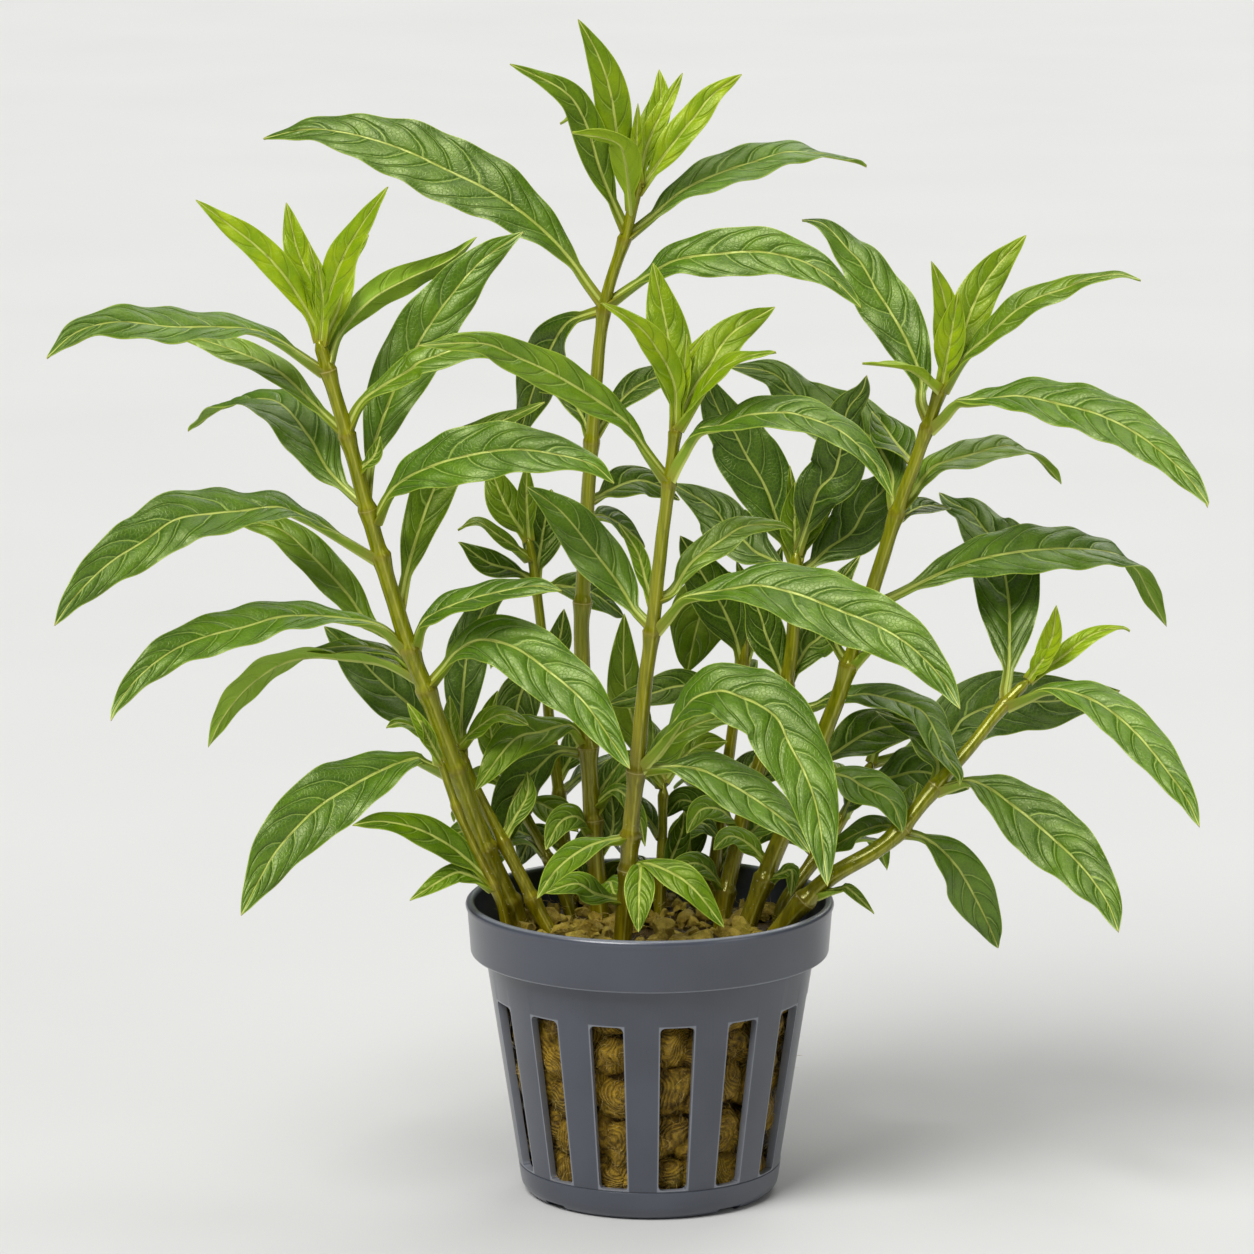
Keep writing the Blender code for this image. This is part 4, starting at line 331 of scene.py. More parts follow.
    "leaf_side_back_02": ("stem_side_back", 8, (14, 13), (50, 25, 25), [
        (31.5, 61.2), (33.6, 62.3), (36.1, 62.9), (39, 63.7), (41.8, 63.5), (47.5, 61.2)]),
}

# Young and small leaves, fused to the stem that they grow from: width, depths, turns and midrib.
SMALL_LEAVES = {
    "stem_left": [
        (4.4, (-14, -12), (40, 30, 30), [(-48.3, 127.9), (-50.1, 132.4), (-55.9, 140.8), (-66.4, 149.3)]),
        (4.7, (-12, -9), (40, 30, 30), [(-48.3, 127.9), (-48.6, 134.8), (-51.5, 141.5), (-53.2, 148.9)]),
        (4.9, (-17, -19), (70, 50, 40), [(-47.9, 127.4), (-47.2, 134.2), (-44.4, 141.8), (-38.4, 151.2)]),
        (2.4, (-15, -14), (30, 30, 30), [(-48.2, 127.9), (-48.5, 136.5), (-50, 143)]),
        (2.2, (-16, -17), (30, 30, 30), [(-48.2, 127.9), (-48, 134.4), (-48.7, 140.3)]),
        (3.3, (-9, -2), (60, 60, 60), [(-48, 127.4), (-45.6, 133.3), (-44.4, 139.5), (-41.2, 144.2)]),
        (6.4, (-4, 1), (50, 45, 45), [
            (-36.4, 87.4), (-35.5, 95.5), (-31.6, 107), (-27.2, 113.6), (-15.5, 119.4)]),
        (2.3, (-15, -15), (30, 30, 30), [(-43, 109), (-40.7, 111.3), (-39.7, 114.3)]),
        (3.9, (-8, -5), (70, 70, 70), [(-34.8, 78.9), (-38.1, 81.7), (-44, 82.8), (-51.8, 82)]),
    ],
    "stem_left_thin": [
        (5.4, (-14, -19), (50, 40, 40), [
            (-23.6, 46.4), (-26.9, 50), (-30.5, 52.9), (-35, 55.2), (-40, 56.2), (-44.2, 55.7)]),
        (3.3, (-13, -16), (60, 40, 40), [(-23, 45.9), (-27.4, 48.1), (-29.8, 48), (-35.8, 44.2)]),
        (2.5, (-14, -13), (60, 40, 40), [(-31, 64.9), (-33.5, 70.1), (-36, 74.2)]),
        (2, (-15, -19), (60, 40, 40), [(-31, 64.9), (-32.9, 68.9), (-33.9, 71.5)]),
    ],
    "stem_low_left": [
        (4.7, (-4, -7), (60, 60, 50), [(-28.8, 67.4), (-33.8, 69.8), (-36.8, 71.2), (-39.1, 70.6)]),
        (5, (-3, -6), (60, 60, 50), [(-28.8, 67.4), (-25.5, 70.4), (-22, 72.4), (-18, 70.9)]),
        (2.5, (0, 0), (30, 30, 30), [(-28.8, 67.4), (-29.5, 71.4), (-29.7, 75.3)]),
        (3.2, (-2, 1), (60, 40, 40), [(-22, 53.2), (-20.1, 56.7), (-18.2, 60.4), (-18.2, 63.8)]),
        (4, (1, 4), (60, 40, 40), [(-21.5, 52.6), (-25, 54.9), (-28.5, 54.4), (-31.5, 51.4)]),
    ],
    "stem_low_back_left": [
        (4.8, (9, 5), (60, 35, 30), [(-19, 57.9), (-17, 59.1), (-13.9, 57.6), (-10.7, 54.7)]),
        (4.5, (17, 19), (40, 30, 30), [(-20.4, 60.9), (-22.7, 66.5), (-23.8, 71.4), (-22.6, 76.1)]),
        (4.4, (17, 21), (60, 60, 80), [(-20.2, 60.4), (-25, 63.3), (-28, 60), (-29.3, 56.3)]),
        (4.5, (17, 20), (60, 60, 60), [(-20.4, 60.9), (-18.5, 66.4), (-17.5, 71.4)]),
        (4.5, (14, 19), (80, 90, 110), [(-15.3, 50.8), (-18, 53.4), (-21.5, 52.4), (-24, 48.4)]),
        (4, (9, 9), (60, 40, 35), [(-14.5, 48.9), (-11.5, 50.9), (-9, 49.4), (-7.5, 45.9)]),
        (4.2, (16, 20), (60, 50, 50), [(-15.2, 50.9), (-18, 53.9), (-21.5, 54.9), (-25, 52.4)]),
    ],
    "stem_middle": [
        (5, (17, 20), (60, 40, 40), [(2, 61.9), (4.5, 65.4), (7.5, 67.9), (11.5, 68.4)]),
        (4.9, (12, 11), (60, 40, 35), [(2, 61.4), (-0.9, 64.8), (-4.1, 64), (-6.4, 59.2)]),
        (5.9, (20, 24), (40, 30, 30), [
            (2, 61.9), (-0.7, 66.8), (-2.9, 72.9), (-3.9, 79.3), (-3.8, 87.7)]),
        (5.9, (20, 26), (70, 80, 90), [(2, 61.9), (0.1, 66.2), (-0.5, 70.1), (-2.1, 73)]),
        (3.6, (8, 5), (50, 35, 35), [(1.6, 47.4), (3.2, 50.5), (4.7, 54.4), (5.1, 57.6)]),
        (3.9, (15, 20), (80, 90, 110), [(1.7, 47.9), (-2, 50.3), (-5.4, 49.8), (-7.4, 45.6)]),
        (4.5, (11.5, 13), (60, 50, 60), [(1.7, 51.4), (5, 54.9), (8, 55.9), (10.5, 53.4)]),
        (4.5, (17, 23), (60, 50, 60), [(1.8, 53.4), (-1, 57.4), (-4, 58.9), (-6.5, 56.9)]),
    ],
    "stem_tall": [
        (5.3, (1, 1), (30, 25, 25), [
            (-2.6, 150.4), (-4.3, 155.5), (-5.7, 164.5), (-7.6, 170.4), (-10.5, 175.7)]),
        (4.9, (0, -2), (50, 30, 30), [
            (-4, 144.4), (-7.1, 153), (-9.5, 160.7), (-12.7, 165.3), (-20.4, 169.2)]),
        (4.7, (-3, -6), (130, 120, 120), [(-3.2, 147.4), (-3.7, 155.3), (-5.2, 158.1), (-11.4, 159.3)]),
        (7.6, (11, 15), (45, 45, 50), [
            (-8.2, 133.2), (-11.8, 131.2), (-14.6, 127.2), (-17.2, 121), (-19.4, 113.5)]),
        (3.8, (7, 8), (40, 30, 30), [(-8.2, 50.4), (-5.7, 54.3), (-5.5, 58.4), (-6.4, 62.6)]),
        (4, (0, -4), (60, 40, 30), [(-8, 45.9), (-6, 46.9), (-5.4, 45.4), (-3.7, 43.2)]),
        (4.7, (4, 6), (40, 30, 30), [
            (-2.3, 149.9), (3.4, 157.6), (6.5, 161.5), (9.2, 164.8), (13.3, 167.7)]),
        (4.5, (8, 12), (50, 40, 40), [(-2.3, 150.4), (-0.6, 157.6), (1.4, 163.5), (1.3, 168.4)]),
        (3, (5, 7), (40, 30, 30), [(-2.2, 150.9), (0, 158.4), (4.7, 167.9)]),
        (1.8, (1, 0), (30, 30, 30), [(-2.3, 151.4), (-2, 157.4), (-1.8, 163.4)]),
        (4.2, (10, 16), (60, 60, 80), [(-2.6, 150.4), (-5.5, 157.8), (-9.8, 161.9), (-13.2, 160.6)]),
        (5.5, (10, 15), (60, 60, 60), [(-8.4, 113.4), (-5.6, 117.9), (-1.1, 122.1), (9.3, 126.1)]),
        (3.4, (8, 12), (60, 60, 80), [(-8.9, 113.4), (-10.2, 117.5), (-12.8, 120.8), (-16.5, 121)]),
        (6, (11, 15), (60, 45, 45), [(-9.2, 104.4), (-2.9, 107.5), (0.7, 107.1), (4.4, 104.8)]),
        (5.6, (12, 16), (55, 45, 45), [(-9.5, 102.4), (-6.6, 102.2), (-3.4, 100.4), (-0.7, 97.7)]),
        (6.1, (0, -5), (70, 40, 35), [
            (-9.3, 67.9), (-11.9, 70.7), (-16.1, 69.8), (-20.4, 68.4), (-26, 61)]),
        (6.8, (8, 8), (60, 35, 30), [
            (-9.2, 66.4), (-13.4, 66.8), (-16.2, 64.7), (-20, 60.4), (-23, 50.4)]),
        (2.9, (1, -1), (60, 40, 40), [(-8.6, 58.4), (-4.9, 61), (-1.9, 57.5), (-0.7, 52.4)]),
        (4.5, (0, -3), (60, 40, 35), [(-8.3, 54.4), (-11, 56.9), (-13.5, 55.9), (-15.5, 51.9)]),
        (4, (8, 11), (50, 45, 45), [(-8.6, 58.4), (-6.4, 62.4), (-4, 65.4), (-1.5, 65.9)]),
    ],
    "stem_front": [
        (4.3, (-26, -30), (60, 40, 35), [
            (3.7, 114.9), (3.4, 122.3), (0.1, 128.5), (-2.9, 131.5), (-7.1, 134.1)]),
        (6.3, (-19, -16), (30, 25, 25), [(3.8, 115.4), (3.3, 124.4), (2.2, 131.4), (0.4, 140)]),
        (5.9, (-19, -14), (50, 30, 30), [
            (4, 115.4), (6.4, 121.2), (8.7, 124.8), (11.9, 129.5), (18.3, 133.5)]),
        (5.3, (-28, -33), (80, 60, 60), [
            (4.2, 115.4), (8.3, 121.9), (10.6, 124.4), (14.2, 126.1), (18.4, 126.9)]),
        (2.2, (-23, -23), (30, 30, 30), [(3.9, 115.4), (4.2, 123.7), (8.4, 130.1)]),
        (2.2, (-24, -25), (30, 30, 30), [(3.9, 115.4), (4.8, 122.4), (5.4, 129.4)]),
        (2.6, (-17, -16), (50, 35, 35), [(0.4, 88.4), (-0.6, 92.4), (-1.9, 97), (-4.6, 101.2)]),
        (4.2, (-21, -26), (80, 40, 35), [
            (-3.1, 53.9), (-7.8, 52.9), (-11, 51.3), (-14.2, 48.5), (-16.8, 44.5)]),
        (4.5, (-20, -23), (80, 20, 15), [(-3.4, 48.9), (-1.5, 49.4), (-1.6, 45.4), (-1.7, 39.3)]),
        (4.6, (-20, -22), (80, 35, 30), [(-3.4, 48.9), (-0.5, 49.7), (3.8, 48), (7, 45.4), (11.1, 40)]),
        (4.3, (-16, -18), (60, 40, 40), [(-3.8, 43.9), (-8.1, 45.1), (-11, 46.7), (-15.6, 45.3)]),
    ],
    "stem_back_right": [
        (4.5, (14.5, 14.5), (30, 25, 25), [(21.5, 94.4), (21.3, 101.4), (21.3, 107.4)]),
        (3.7, (16, 18), (40, 30, 30), [(21.6, 94.4), (23.5, 100.7), (27.7, 105.9)]),
        (2.6, (16, 17), (40, 30, 30), [(21.7, 95.4), (24.8, 102.3), (28, 106.5)]),
        (2.5, (15, 15), (30, 30, 30), [(21.5, 94.4), (21.2, 102.4), (20.6, 109.9)]),
        (4.2, (20, 26), (60, 60, 60), [(21.6, 94.4), (21.9, 100.5), (23.2, 105.5)]),
        (5.9, (15, 16), (40, 35, 35), [(20, 76.4), (18.8, 80.5), (17.2, 84.4), (16, 88.3), (13.6, 92.1)]),
        (5.9, (16, 19), (40, 35, 35), [
            (20.2, 76.4), (21.9, 80), (23.4, 82.7), (25.4, 84.5), (28.8, 89.8)]),
        (4, (1, -2), (70, 40, 40), [(11.2, 45.4), (8, 49.4), (5, 49.4), (2, 46.4)]),
        (4.5, (9, 12), (60, 40, 40), [(12.8, 51.9), (16, 55.4), (18.5, 56.4), (21, 53.9)]),
        (4.5, (1, -2), (60, 40, 35), [(13.5, 54.9), (10.5, 57.9), (7.5, 57.9), (5.5, 54.4)]),
        (5, (12, 16), (50, 35, 40), [(14.9, 60.4), (18, 64.4), (20.5, 65.9), (23, 64.4)]),
    ],
    "stem_back_left": [
        (4.4, (22, 21), (50, 40, 40), [(-17, 92.4), (-20.1, 94.2), (-24, 95.4), (-28.2, 98.5)]),
        (4.1, (20, 17), (60, 60, 80), [(-17.4, 95.9), (-22.4, 99.4), (-25.5, 101.5), (-28.4, 100.4)]),
        (5.5, (25, 27), (40, 30, 30), [(-17.9, 98.4), (-21.4, 104.2), (-23.8, 110.3)]),
        (3, (24, 24), (30, 30, 30), [(-17.9, 98.4), (-18.2, 104.4), (-18.2, 110.2)]),
        (6.4, (26, 29), (40, 30, 30), [(-16.9, 92.4), (-15.7, 100.4), (-14.5, 106.4)]),
        (6.4, (25, 29), (55, 45, 50), [(-16.9, 91.4), (-13.5, 91.8), (-8.5, 90.8), (-3.8, 87.2)]),
        (6.7, (16, 14), (80, 35, 30), [(-15.4, 78.4), (-17.7, 78.5), (-19.7, 73.5), (-20.1, 66.4)]),
        (6.5, (31, 42), (80, 100, 120), [(-15.4, 78.4), (-16.4, 82.9), (-20.3, 84), (-23.6, 79.7)]),
        (5.4, (27, 34), (80, 90, 110), [(-13.5, 60.4), (-8.9, 64.1), (-3.9, 65.8), (1, 61.6)]),
        (4, (17, 17), (40, 30, 30), [(-15.4, 79.4), (-13.4, 83.8), (-12.7, 88.4)]),
        (4.5, (19, 24), (60, 50, 60), [(-12.3, 49.4), (-9.5, 52.9), (-6.5, 53.9), (-4, 51.4)]),
        (4.5, (18, 20), (60, 40, 35), [(-12.5, 51.4), (-15.5, 53.9), (-18, 52.9), (-19.5, 49.4)]),
        (5, (20, 24), (40, 35, 35), [(-13.7, 62.4), (-11.5, 66.4), (-10, 69.9), (-9.8, 73.4)]),
    ],
    "stem_back": [
        (8, (24, 24), (40, 30, 30), [(13.7, 79.4), (12.5, 84.5), (10.5, 89), (7.5, 94), (4.5, 99.4)]),
        (4.5, (27, 30), (40, 30, 30), [(13.8, 79.4), (15.3, 84.4), (16.3, 88.4), (19.5, 97.9)]),
        (5.8, (18, 15), (60, 40, 40), [(12.9, 74.4), (8, 76.5), (4, 76.7), (0.1, 75.6), (-6.5, 73.9)]),
        (9.8, (28, 31), (45, 35, 30), [(14.1, 85.9), (12, 90.4), (9.5, 90.2), (7.3, 86.9), (5.5, 78.9)]),
        (5.3, (17, 17), (40, 30, 30), [(9.2, 48.4), (6.2, 51.1), (6.5, 55.7), (10.6, 60)]),
        (3.6, (15, 13), (60, 40, 30), [(9, 47.4), (6, 48.2), (2.8, 48), (0.3, 43.8)]),
        (3.6, (32, 44), (70, 90, 110), [(13, 74.4), (14.1, 79.4), (14.3, 80.4), (14.2, 74.6)]),
        (2.5, (25, 26), (30, 30, 30), [(14.1, 86.4), (14.1, 91.5), (12.8, 95.6)]),
        (3, (27, 29), (30, 30, 30), [(14.1, 86.4), (15, 90.4), (16.4, 93.4)]),
        (6, (29, 40), (80, 90, 110), [(10.7, 58.4), (12, 63.4), (13, 64.4), (14, 59.4)]),
        (4.5, (20, 24), (60, 45, 45), [(9.4, 48.4), (12, 52.4), (14, 54.4), (17, 54.4)]),
        (4.8, (16, 16), (50, 35, 30), [(10.2, 54.9), (7.5, 58.4), (4.5, 59.4), (2.5, 56.9)]),
        (5, (23, 27), (50, 40, 40), [(10.8, 58.4), (13.5, 62.4), (15.5, 65.4), (18, 66.9)]),
        (4.5, (24, 30), (60, 70, 90), [(10.4, 55.9), (8.5, 60.4), (6, 62.9), (3.5, 61.4)]),
    ],
    "stem_right": [
        (4.1, (-7, -10), (110, 90, 90), [(42.4, 121.4), (39.5, 123.8), (37.3, 124.7), (31.2, 125.3)]),
        (4.1, (-4, -6), (50, 30, 25), [(42.7, 121.4), (43.5, 130.4), (43, 135), (41.2, 140.2)]),
        (6, (1, 5), (40, 30, 30), [
            (42.8, 121.4), (45.9, 129.7), (48.2, 135.6), (51.2, 140), (55, 144.1)]),
        (4.5, (-4, -5), (40, 30, 30), [(42.7, 121.4), (44, 128.4), (45.1, 135.7)]),
        (5.4, (3, 8), (60, 60, 60), [(42.6, 121.4), (45.1, 128.4), (45.9, 133)]),
        (7.1, (8, 13), (60, 35, 35), [(23.8, 64), (27.7, 66.7), (32.5, 69.8), (37, 70.7), (41.8, 69.8)]),
        (6.4, (8, 15), (60, 45, 45), [(38.5, 110.1), (36.1, 113.4), (34.3, 116), (32.6, 118)]),
        (3.9, (5, 9), (60, 60, 60), [(35.6, 101.3), (40.1, 103.8), (44.4, 103.6)]),
        (4.4, (4, 7), (60, 50, 60), [(29.3, 79.7), (27.4, 83.4), (27, 87.5), (27.8, 91.7), (31, 96.5)]),
        (5, (-3, -7), (80, 70, 70), [(29.4, 79.7), (33, 82.9), (36, 85.4), (41, 85.4)]),
        (2.4, (-4, -5), (70, 50, 50), [(16.5, 46.9), (19.5, 48.2), (21.2, 48.6), (21, 44.8)]),
        (4.2, (-1, -4), (60, 45, 45), [(17.5, 49.4), (14.5, 52.9), (11.8, 53.9), (9.5, 51.9)]),
        (4.5, (3, 6), (50, 40, 40), [(19.8, 55.4), (22.5, 59.4), (25, 61.9), (28, 62.4)]),
    ],
    "stem_low_right": [
        (3.2, (0, -2), (50, 30, 25), [(56, 77.4), (57.7, 80.5), (59.5, 84.1), (60.1, 88.9)]),
        (3.3, (2, 2), (60, 45, 70), [(56, 77.4), (60.4, 80.6), (65.1, 84.3), (69.6, 85.6), (71.1, 85.2)]),
        (2.9, (0, 0), (40, 30, 30), [(56, 77.4), (58.1, 80.6), (60.4, 83.2)]),
        (3.4, (4, 9), (60, 60, 60), [(56, 77.4), (58.9, 82.2), (59, 86.8)]),
        (5.8, (1, 6), (60, 45, 45), [(37, 55.4), (34, 55.4), (31, 54.4), (26.4, 51.8)]),
        (2, (-12, -15), (80, 60, 50), [(24, 45.2), (28.3, 45.9), (29.7, 45.9), (33.5, 42.2)]),
        (4.9, (3, 9), (40, 40, 70), [(42.3, 61.2), (42.8, 64.7), (41.6, 67.1), (40, 70.4), (33.5, 73)]),
        (4.1, (-3, 1), (40, 30, 30), [(37.4, 55.4), (39.1, 58.7), (39.8, 62.2)]),
    ],
    "stem_side_back": [
        (4, (19, 22), (40, 30, 30), [(32.9, 64.9), (33.5, 68.4), (33, 72.4)]),
        (3.5, (16, 16), (40, 30, 30), [(32.9, 64.9), (34.3, 68.6), (38.9, 69.4)]),
        (5.5, (21, 28), (80, 90, 110), [(30.8, 60.7), (27, 64.4), (24, 63.9), (21.5, 59.4)]),
        (4.7, (17, 23), (80, 90, 110), [(25.4, 51.4), (30.2, 53.4), (33.7, 53.1), (35.4, 49)]),
        (4.5, (15, 18), (60, 40, 40), [(24.9, 50.9), (21.5, 53.9), (18, 54.9), (15.5, 52.4)]),
        (4.5, (8, 7), (50, 40, 40), [(28, 56.4), (30.5, 60.4), (33.5, 62.4), (37, 61.4)]),
    ],
}

rng = random.Random(41)


# Lines in space

def seen(x, z, depth):
    """The point at this depth that stands at (x, z) on the plane y = 0, seen from EYE."""
    share = 1 - depth / EYE.y
    return Vector((EYE.x + (x - EYE.x) * share, depth, EYE.z + (z - EYE.z) * share))


def seen_height(depth, height):
    """The height on the plane y = 0 at which a point of this depth and height stands, seen from EYE."""
    return EYE.z + (height - EYE.z) / (1 - depth / EYE.y)


def smooth_line(points):
    """A line of short steps that passes smoothly through the points."""
    before = points[0] * 2 - points[1]
    after = points[-1] * 2 - points[-2]
    knots = [before, *points, after]
    line = []
    for a, b, c, d in zip(knots, knots[1:], knots[2:], knots[3:]):
        for step in range(LINE_STEPS):
            t = step / LINE_STEPS
            bend = (a * 2 - b * 5 + c * 4 - d) * t + (b * 3 - a - c * 3 + d) * t * t
            line.append(b + ((c - a) + bend) * (t / 2))
    return [*line, points[-1]]


def shares_of(line):
    """How far along the line each of its points lies, from 0 to 1, and its length."""
    lengths = [0.0]
    for start, end in zip(line, line[1:]):
        lengths.append(lengths[-1] + (end - start).length)
    return np.array(lengths) / lengths[-1], lengths[-1]


def three_point(values, share):
    """The smooth value at this share, from those at the start, the middle and the end."""
    start, middle, end = values
    return (start * (1 - share) * (1 - 2 * share) + middle * 4 * share * (1 - share)
            + end * share * (2 * share - 1))


def along_line(line, shares):
    """Points and unit directions at these shares of a line's length, as arrays."""
    known, _ = shares_of(line)
    points = np.array(line)
    slopes = np.gradient(points, axis=0)
    place = np.stack([np.interp(shares, known, points[:, k]) for k in range(3)], axis=1)
    way = np.stack([np.interp(shares, known, slopes[:, k]) for k in range(3)], axis=1)
    return place, unit(way)


def unit(vectors):
    """The vectors at length 1."""
    return vectors / np.linalg.norm(vectors, axis=-1, keepdims=True)


def stem_line(name):
    """The stem's middle line, from its roots to its shoot tip."""
    return smooth_line([seen(*point) for point in STEMS[name][3]])


def stem_radius(name, height):
    """The stem's radius at a height of its line, without its swollen nodes."""
    bottom, top = STEMS[name][:2]
    share = np.clip((height - ROOT_HEIGHT) / (STEMS[name][3][-1][1] - ROOT_HEIGHT), 0, 1)
    return (bottom + (top - bottom) * share) / 2


def blade_width(width, share):
    """The leaf's width: a winged stalk, then a lance-shaped blade with a drawn-out tip."""
    stalk = PETIOLE_WIDTH * (1 - share)
    along = np.clip((share - BLADE_START) / (1 - BLADE_START), 0, 1)
    blade = width * np.clip(np.sin(np.pi * along ** 0.88), 0, 1) ** (1.25 - 0.45 * along)
    return np.maximum(stalk, blade)


def leaf_line(stem, depths, points):
    """The midrib from just inside the stem to the tip."""
    line = stem_line(stem)
    first = points[0][1]
    heights = [seen_height(point.y, point.z) for point in line]
    root = Vector([float(np.interp(first, heights, [p[k] for p in line])) for k in range(3)])
    flat = smooth_line([Vector((x, 0, z)) for x, z in points])
    shares, _ = shares_of(flat)
    places = [seen(x, z, three_point((root.y, *depths), shares[index * LINE_STEPS]))
              for index, (x, z) in enumerate(points)]
    start = root + (places[1] - root).normalized() * (stem_radius(stem, first) * 0.5)
    return smooth_line([start, *places[1:]])


# Making meshes

def start_piece():
    """Nothing is selected before a primitive is added."""
    bpy.ops.object.select_all(action="DESELECT")


def add_grid(columns, rows):
    """A flat grid, and for each point how far across (-1 to 1) and along it (0 to 1) it lies."""
    start_piece()
    bpy.ops.mesh.primitive_grid_add(x_subdivisions=columns, y_subdivisions=rows, size=2)
    grid = bpy.context.object
    flat = positions(grid)
    return grid, flat[:, 0], (flat[:, 1] + 1) / 2


def positions(piece):
    """The places of a mesh's points, as the mesh has them."""
    found = np.zeros(len(piece.data.vertices) * 3)
    piece.data.vertices.foreach_get("co", found)
    return found.reshape(-1, 3)


def set_positions(piece, places):
    """Moves a mesh's points to these places, in millimetres."""
    piece.data.vertices.foreach_set("co", (places * MM).ravel())
    piece.data.update()


def store(piece, name, *columns):
    """Keeps three numbers for each point of the mesh, for its material; one alone serves every point."""
    count = len(piece.data.vertices)
    kept = piece.data.attributes.new(name, "FLOAT_VECTOR", "POINT")
    values = np.stack([np.broadcast_to(column, count) for column in columns], axis=1)
    kept.data.foreach_set("vector", values.astype(float).ravel())


def modify(piece, name, kind, **settings):
    """Gives the piece a modifier with these settings and applies it."""
    modifier = piece.modifiers.new(name, kind)
    for key, value in settings.items():
        setattr(modifier, key, value)
    bpy.context.view_layer.objects.active = piece
    bpy.ops.object.modifier_apply(modifier=modifier.name)


def close_seams(piece, distance=0.01):
    """Merges points that lie together and turns every face outwards."""
    bpy.context.view_layer.objects.active = piece
    bpy.ops.object.mode_set(mode="EDIT")
    bpy.ops.mesh.select_all(action="SELECT")
    bpy.ops.mesh.remove_doubles(threshold=distance * MM)
    bpy.ops.mesh.normals_make_consistent(inside=False)
    bpy.ops.object.mode_set(mode="OBJECT")


def finish_piece(piece, name, look, node=None):
    """Names a finished mesh, gives it its material and puts it on the frame, in a node's place if named."""
    piece.name = name
    piece.data.name = name
    piece.data.materials.clear()
    piece.data.materials.append(look)
    piece.data.shade_smooth()
    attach(piece, "root")
    if node:
        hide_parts(node)
    return piece


def joined(parts):
    """The parts as one piece."""
    start_piece()
    for part in parts:
        part.select_set(True)
    bpy.context.view_layer.objects.active = parts[0]
    bpy.ops.object.join()
    return parts[0]


# Leaves

def vein_turn(across, along, veins, reach):
    """Counts the side veins along the blade: whole numbers lie on the veins, which sweep forwards."""
    out = np.abs(across)
    turn = (along - reach * (0.75 * out + 1.35 * out ** 3)) * veins + np.where(across < 0, 0.4, 0)
    wobble = 0.12 * np.sin(turn * 2.3 + veins * 5 + np.sign(across))
    return turn + wobble + 0.05 * np.sin(turn * 4.1 + veins * 9)


def quilting(across, turn):
    """How the blade swells between its side veins: 0 on a vein, the midrib and the margin, 1 between."""
    swell = np.abs(np.sin(np.pi * turn)) ** 0.7
    return swell * np.clip(np.sin(np.pi * np.abs(across) ** 0.8), 0, 1) ** 0.6


def ease(value):
    """0 below 0, 1 above 1, and smooth between."""
    share = np.clip(value, 0, 1)
    return share ** 2 * (3 - 2 * share)


def blade_frame(line, along, turns):
    """The midrib's places, and the ways that the blade's upper face and its side look there."""
    place, way = along_line(line, along)
    turn = np.radians(three_point(turns, along))
    face = np.stack([np.zeros_like(turn), -np.cos(turn), np.sin(turn)], axis=1)
    face = unit(face - way * np.sum(face * way, axis=1, keepdims=True))
    return place, face, np.cross(way, face)


def blade_relief(across, along, vein, width, length, phase):
    """How far the blade stands off its fold: puffs between veins, a rippled margin and a slow sway."""
    out = np.abs(across)
    blade_part = ease((along - 0.1) * 8) * ease((1 - along) * 9)
    puffs = quilting(across, vein) * (0.8 + 0.4 * np.sin(vein * 1.7 + phase))
    ripples = out ** 2.4 * np.sin(along * length / 1.25 + phase + np.where(across < 0, 1.9, 0))
    sway = out ** 1.5 * np.sin(along * 7 + phase * 2) * SWAY * width * np.sign(across)
    puffs, ripples = puffs * min(PUFF * width, MOST_PUFF), ripples * min(RIPPLE * width, MOST_RIPPLE)
    return (puffs + ripples + sway) * blade_part


def blade_thickness(out, along, half, width):
    """Thinner towards the margin, with a rib under the midrib that dies away towards the tip."""
    rib_half = 0.55 * (1 - along) ** 1.5 + 0.15
    rib = ((1 - along) ** 2.4 + 0.16) * np.exp(-(out * half / rib_half) ** 2)
    blade = BLADE_THICKNESS if width > SMALL_BLADE else SMALL_BLADE_THICKNESS
    return blade * (1 - 0.6 * out ** 2) + rib


def add_blade(stem, width, depths, turns, points, grid, young, tone_and_shade):
    """One leaf: a grid laid along the midrib, folded, quilted and waved, with a rib under it."""
    line = leaf_line(stem, depths, points)
    length = shares_of(line)[1]
    veins = min(max(round(length / VEIN_SPACING), FEWEST_VEINS), MOST_VEINS)
    phase = rng.uniform(0, 6.28)
    blade, across, along = add_grid(*grid)
    across = np.sign(across) * np.abs(across) ** 1.3
    out = np.abs(across)
    place, face, side = blade_frame(line, along, turns)
    half = np.maximum(blade_width(width, along) / 2, 0.05)
    half = half * (1 + 0.025 * np.sin(along * length / 2.2 + phase + np.sign(across)))
    fold = three_point(LEAF_FOLD if young < BUD_YOUTH else BUD_FOLD, along)
    rise = half * fold * (out - 0.6 * out * out)
    vein = vein_turn(across, along, veins, width / 2 / length)
    rise = rise + blade_relief(across, along, vein, width, length, phase)
    places = place + side * (half * across)[:, None] + face * rise[:, None]
    set_positions(blade, places)
    store(blade, "blade", across, along, half)
    store(blade, "make", vein, length / veins, tone_and_shade)
    thickness = blade_thickness(out, along, half, width)
    thicken(blade, places - face * thickness[:, None], young)
    return blade


def thicken(blade, lower, young):
    """Closes the leaf with an underside at these places."""
    count = len(lower)
    modify(blade, "Leaf thickness", "SOLIDIFY", thickness=SMALL_BLADE_THICKNESS * MM, offset=-1)
    places = positions(blade) / MM
    places[count:2 * count] = lower
    set_positions(blade, places)
    under = np.zeros(len(places))
    under[count:2 * count] = 1
    store(blade, "kind", under, young, under)


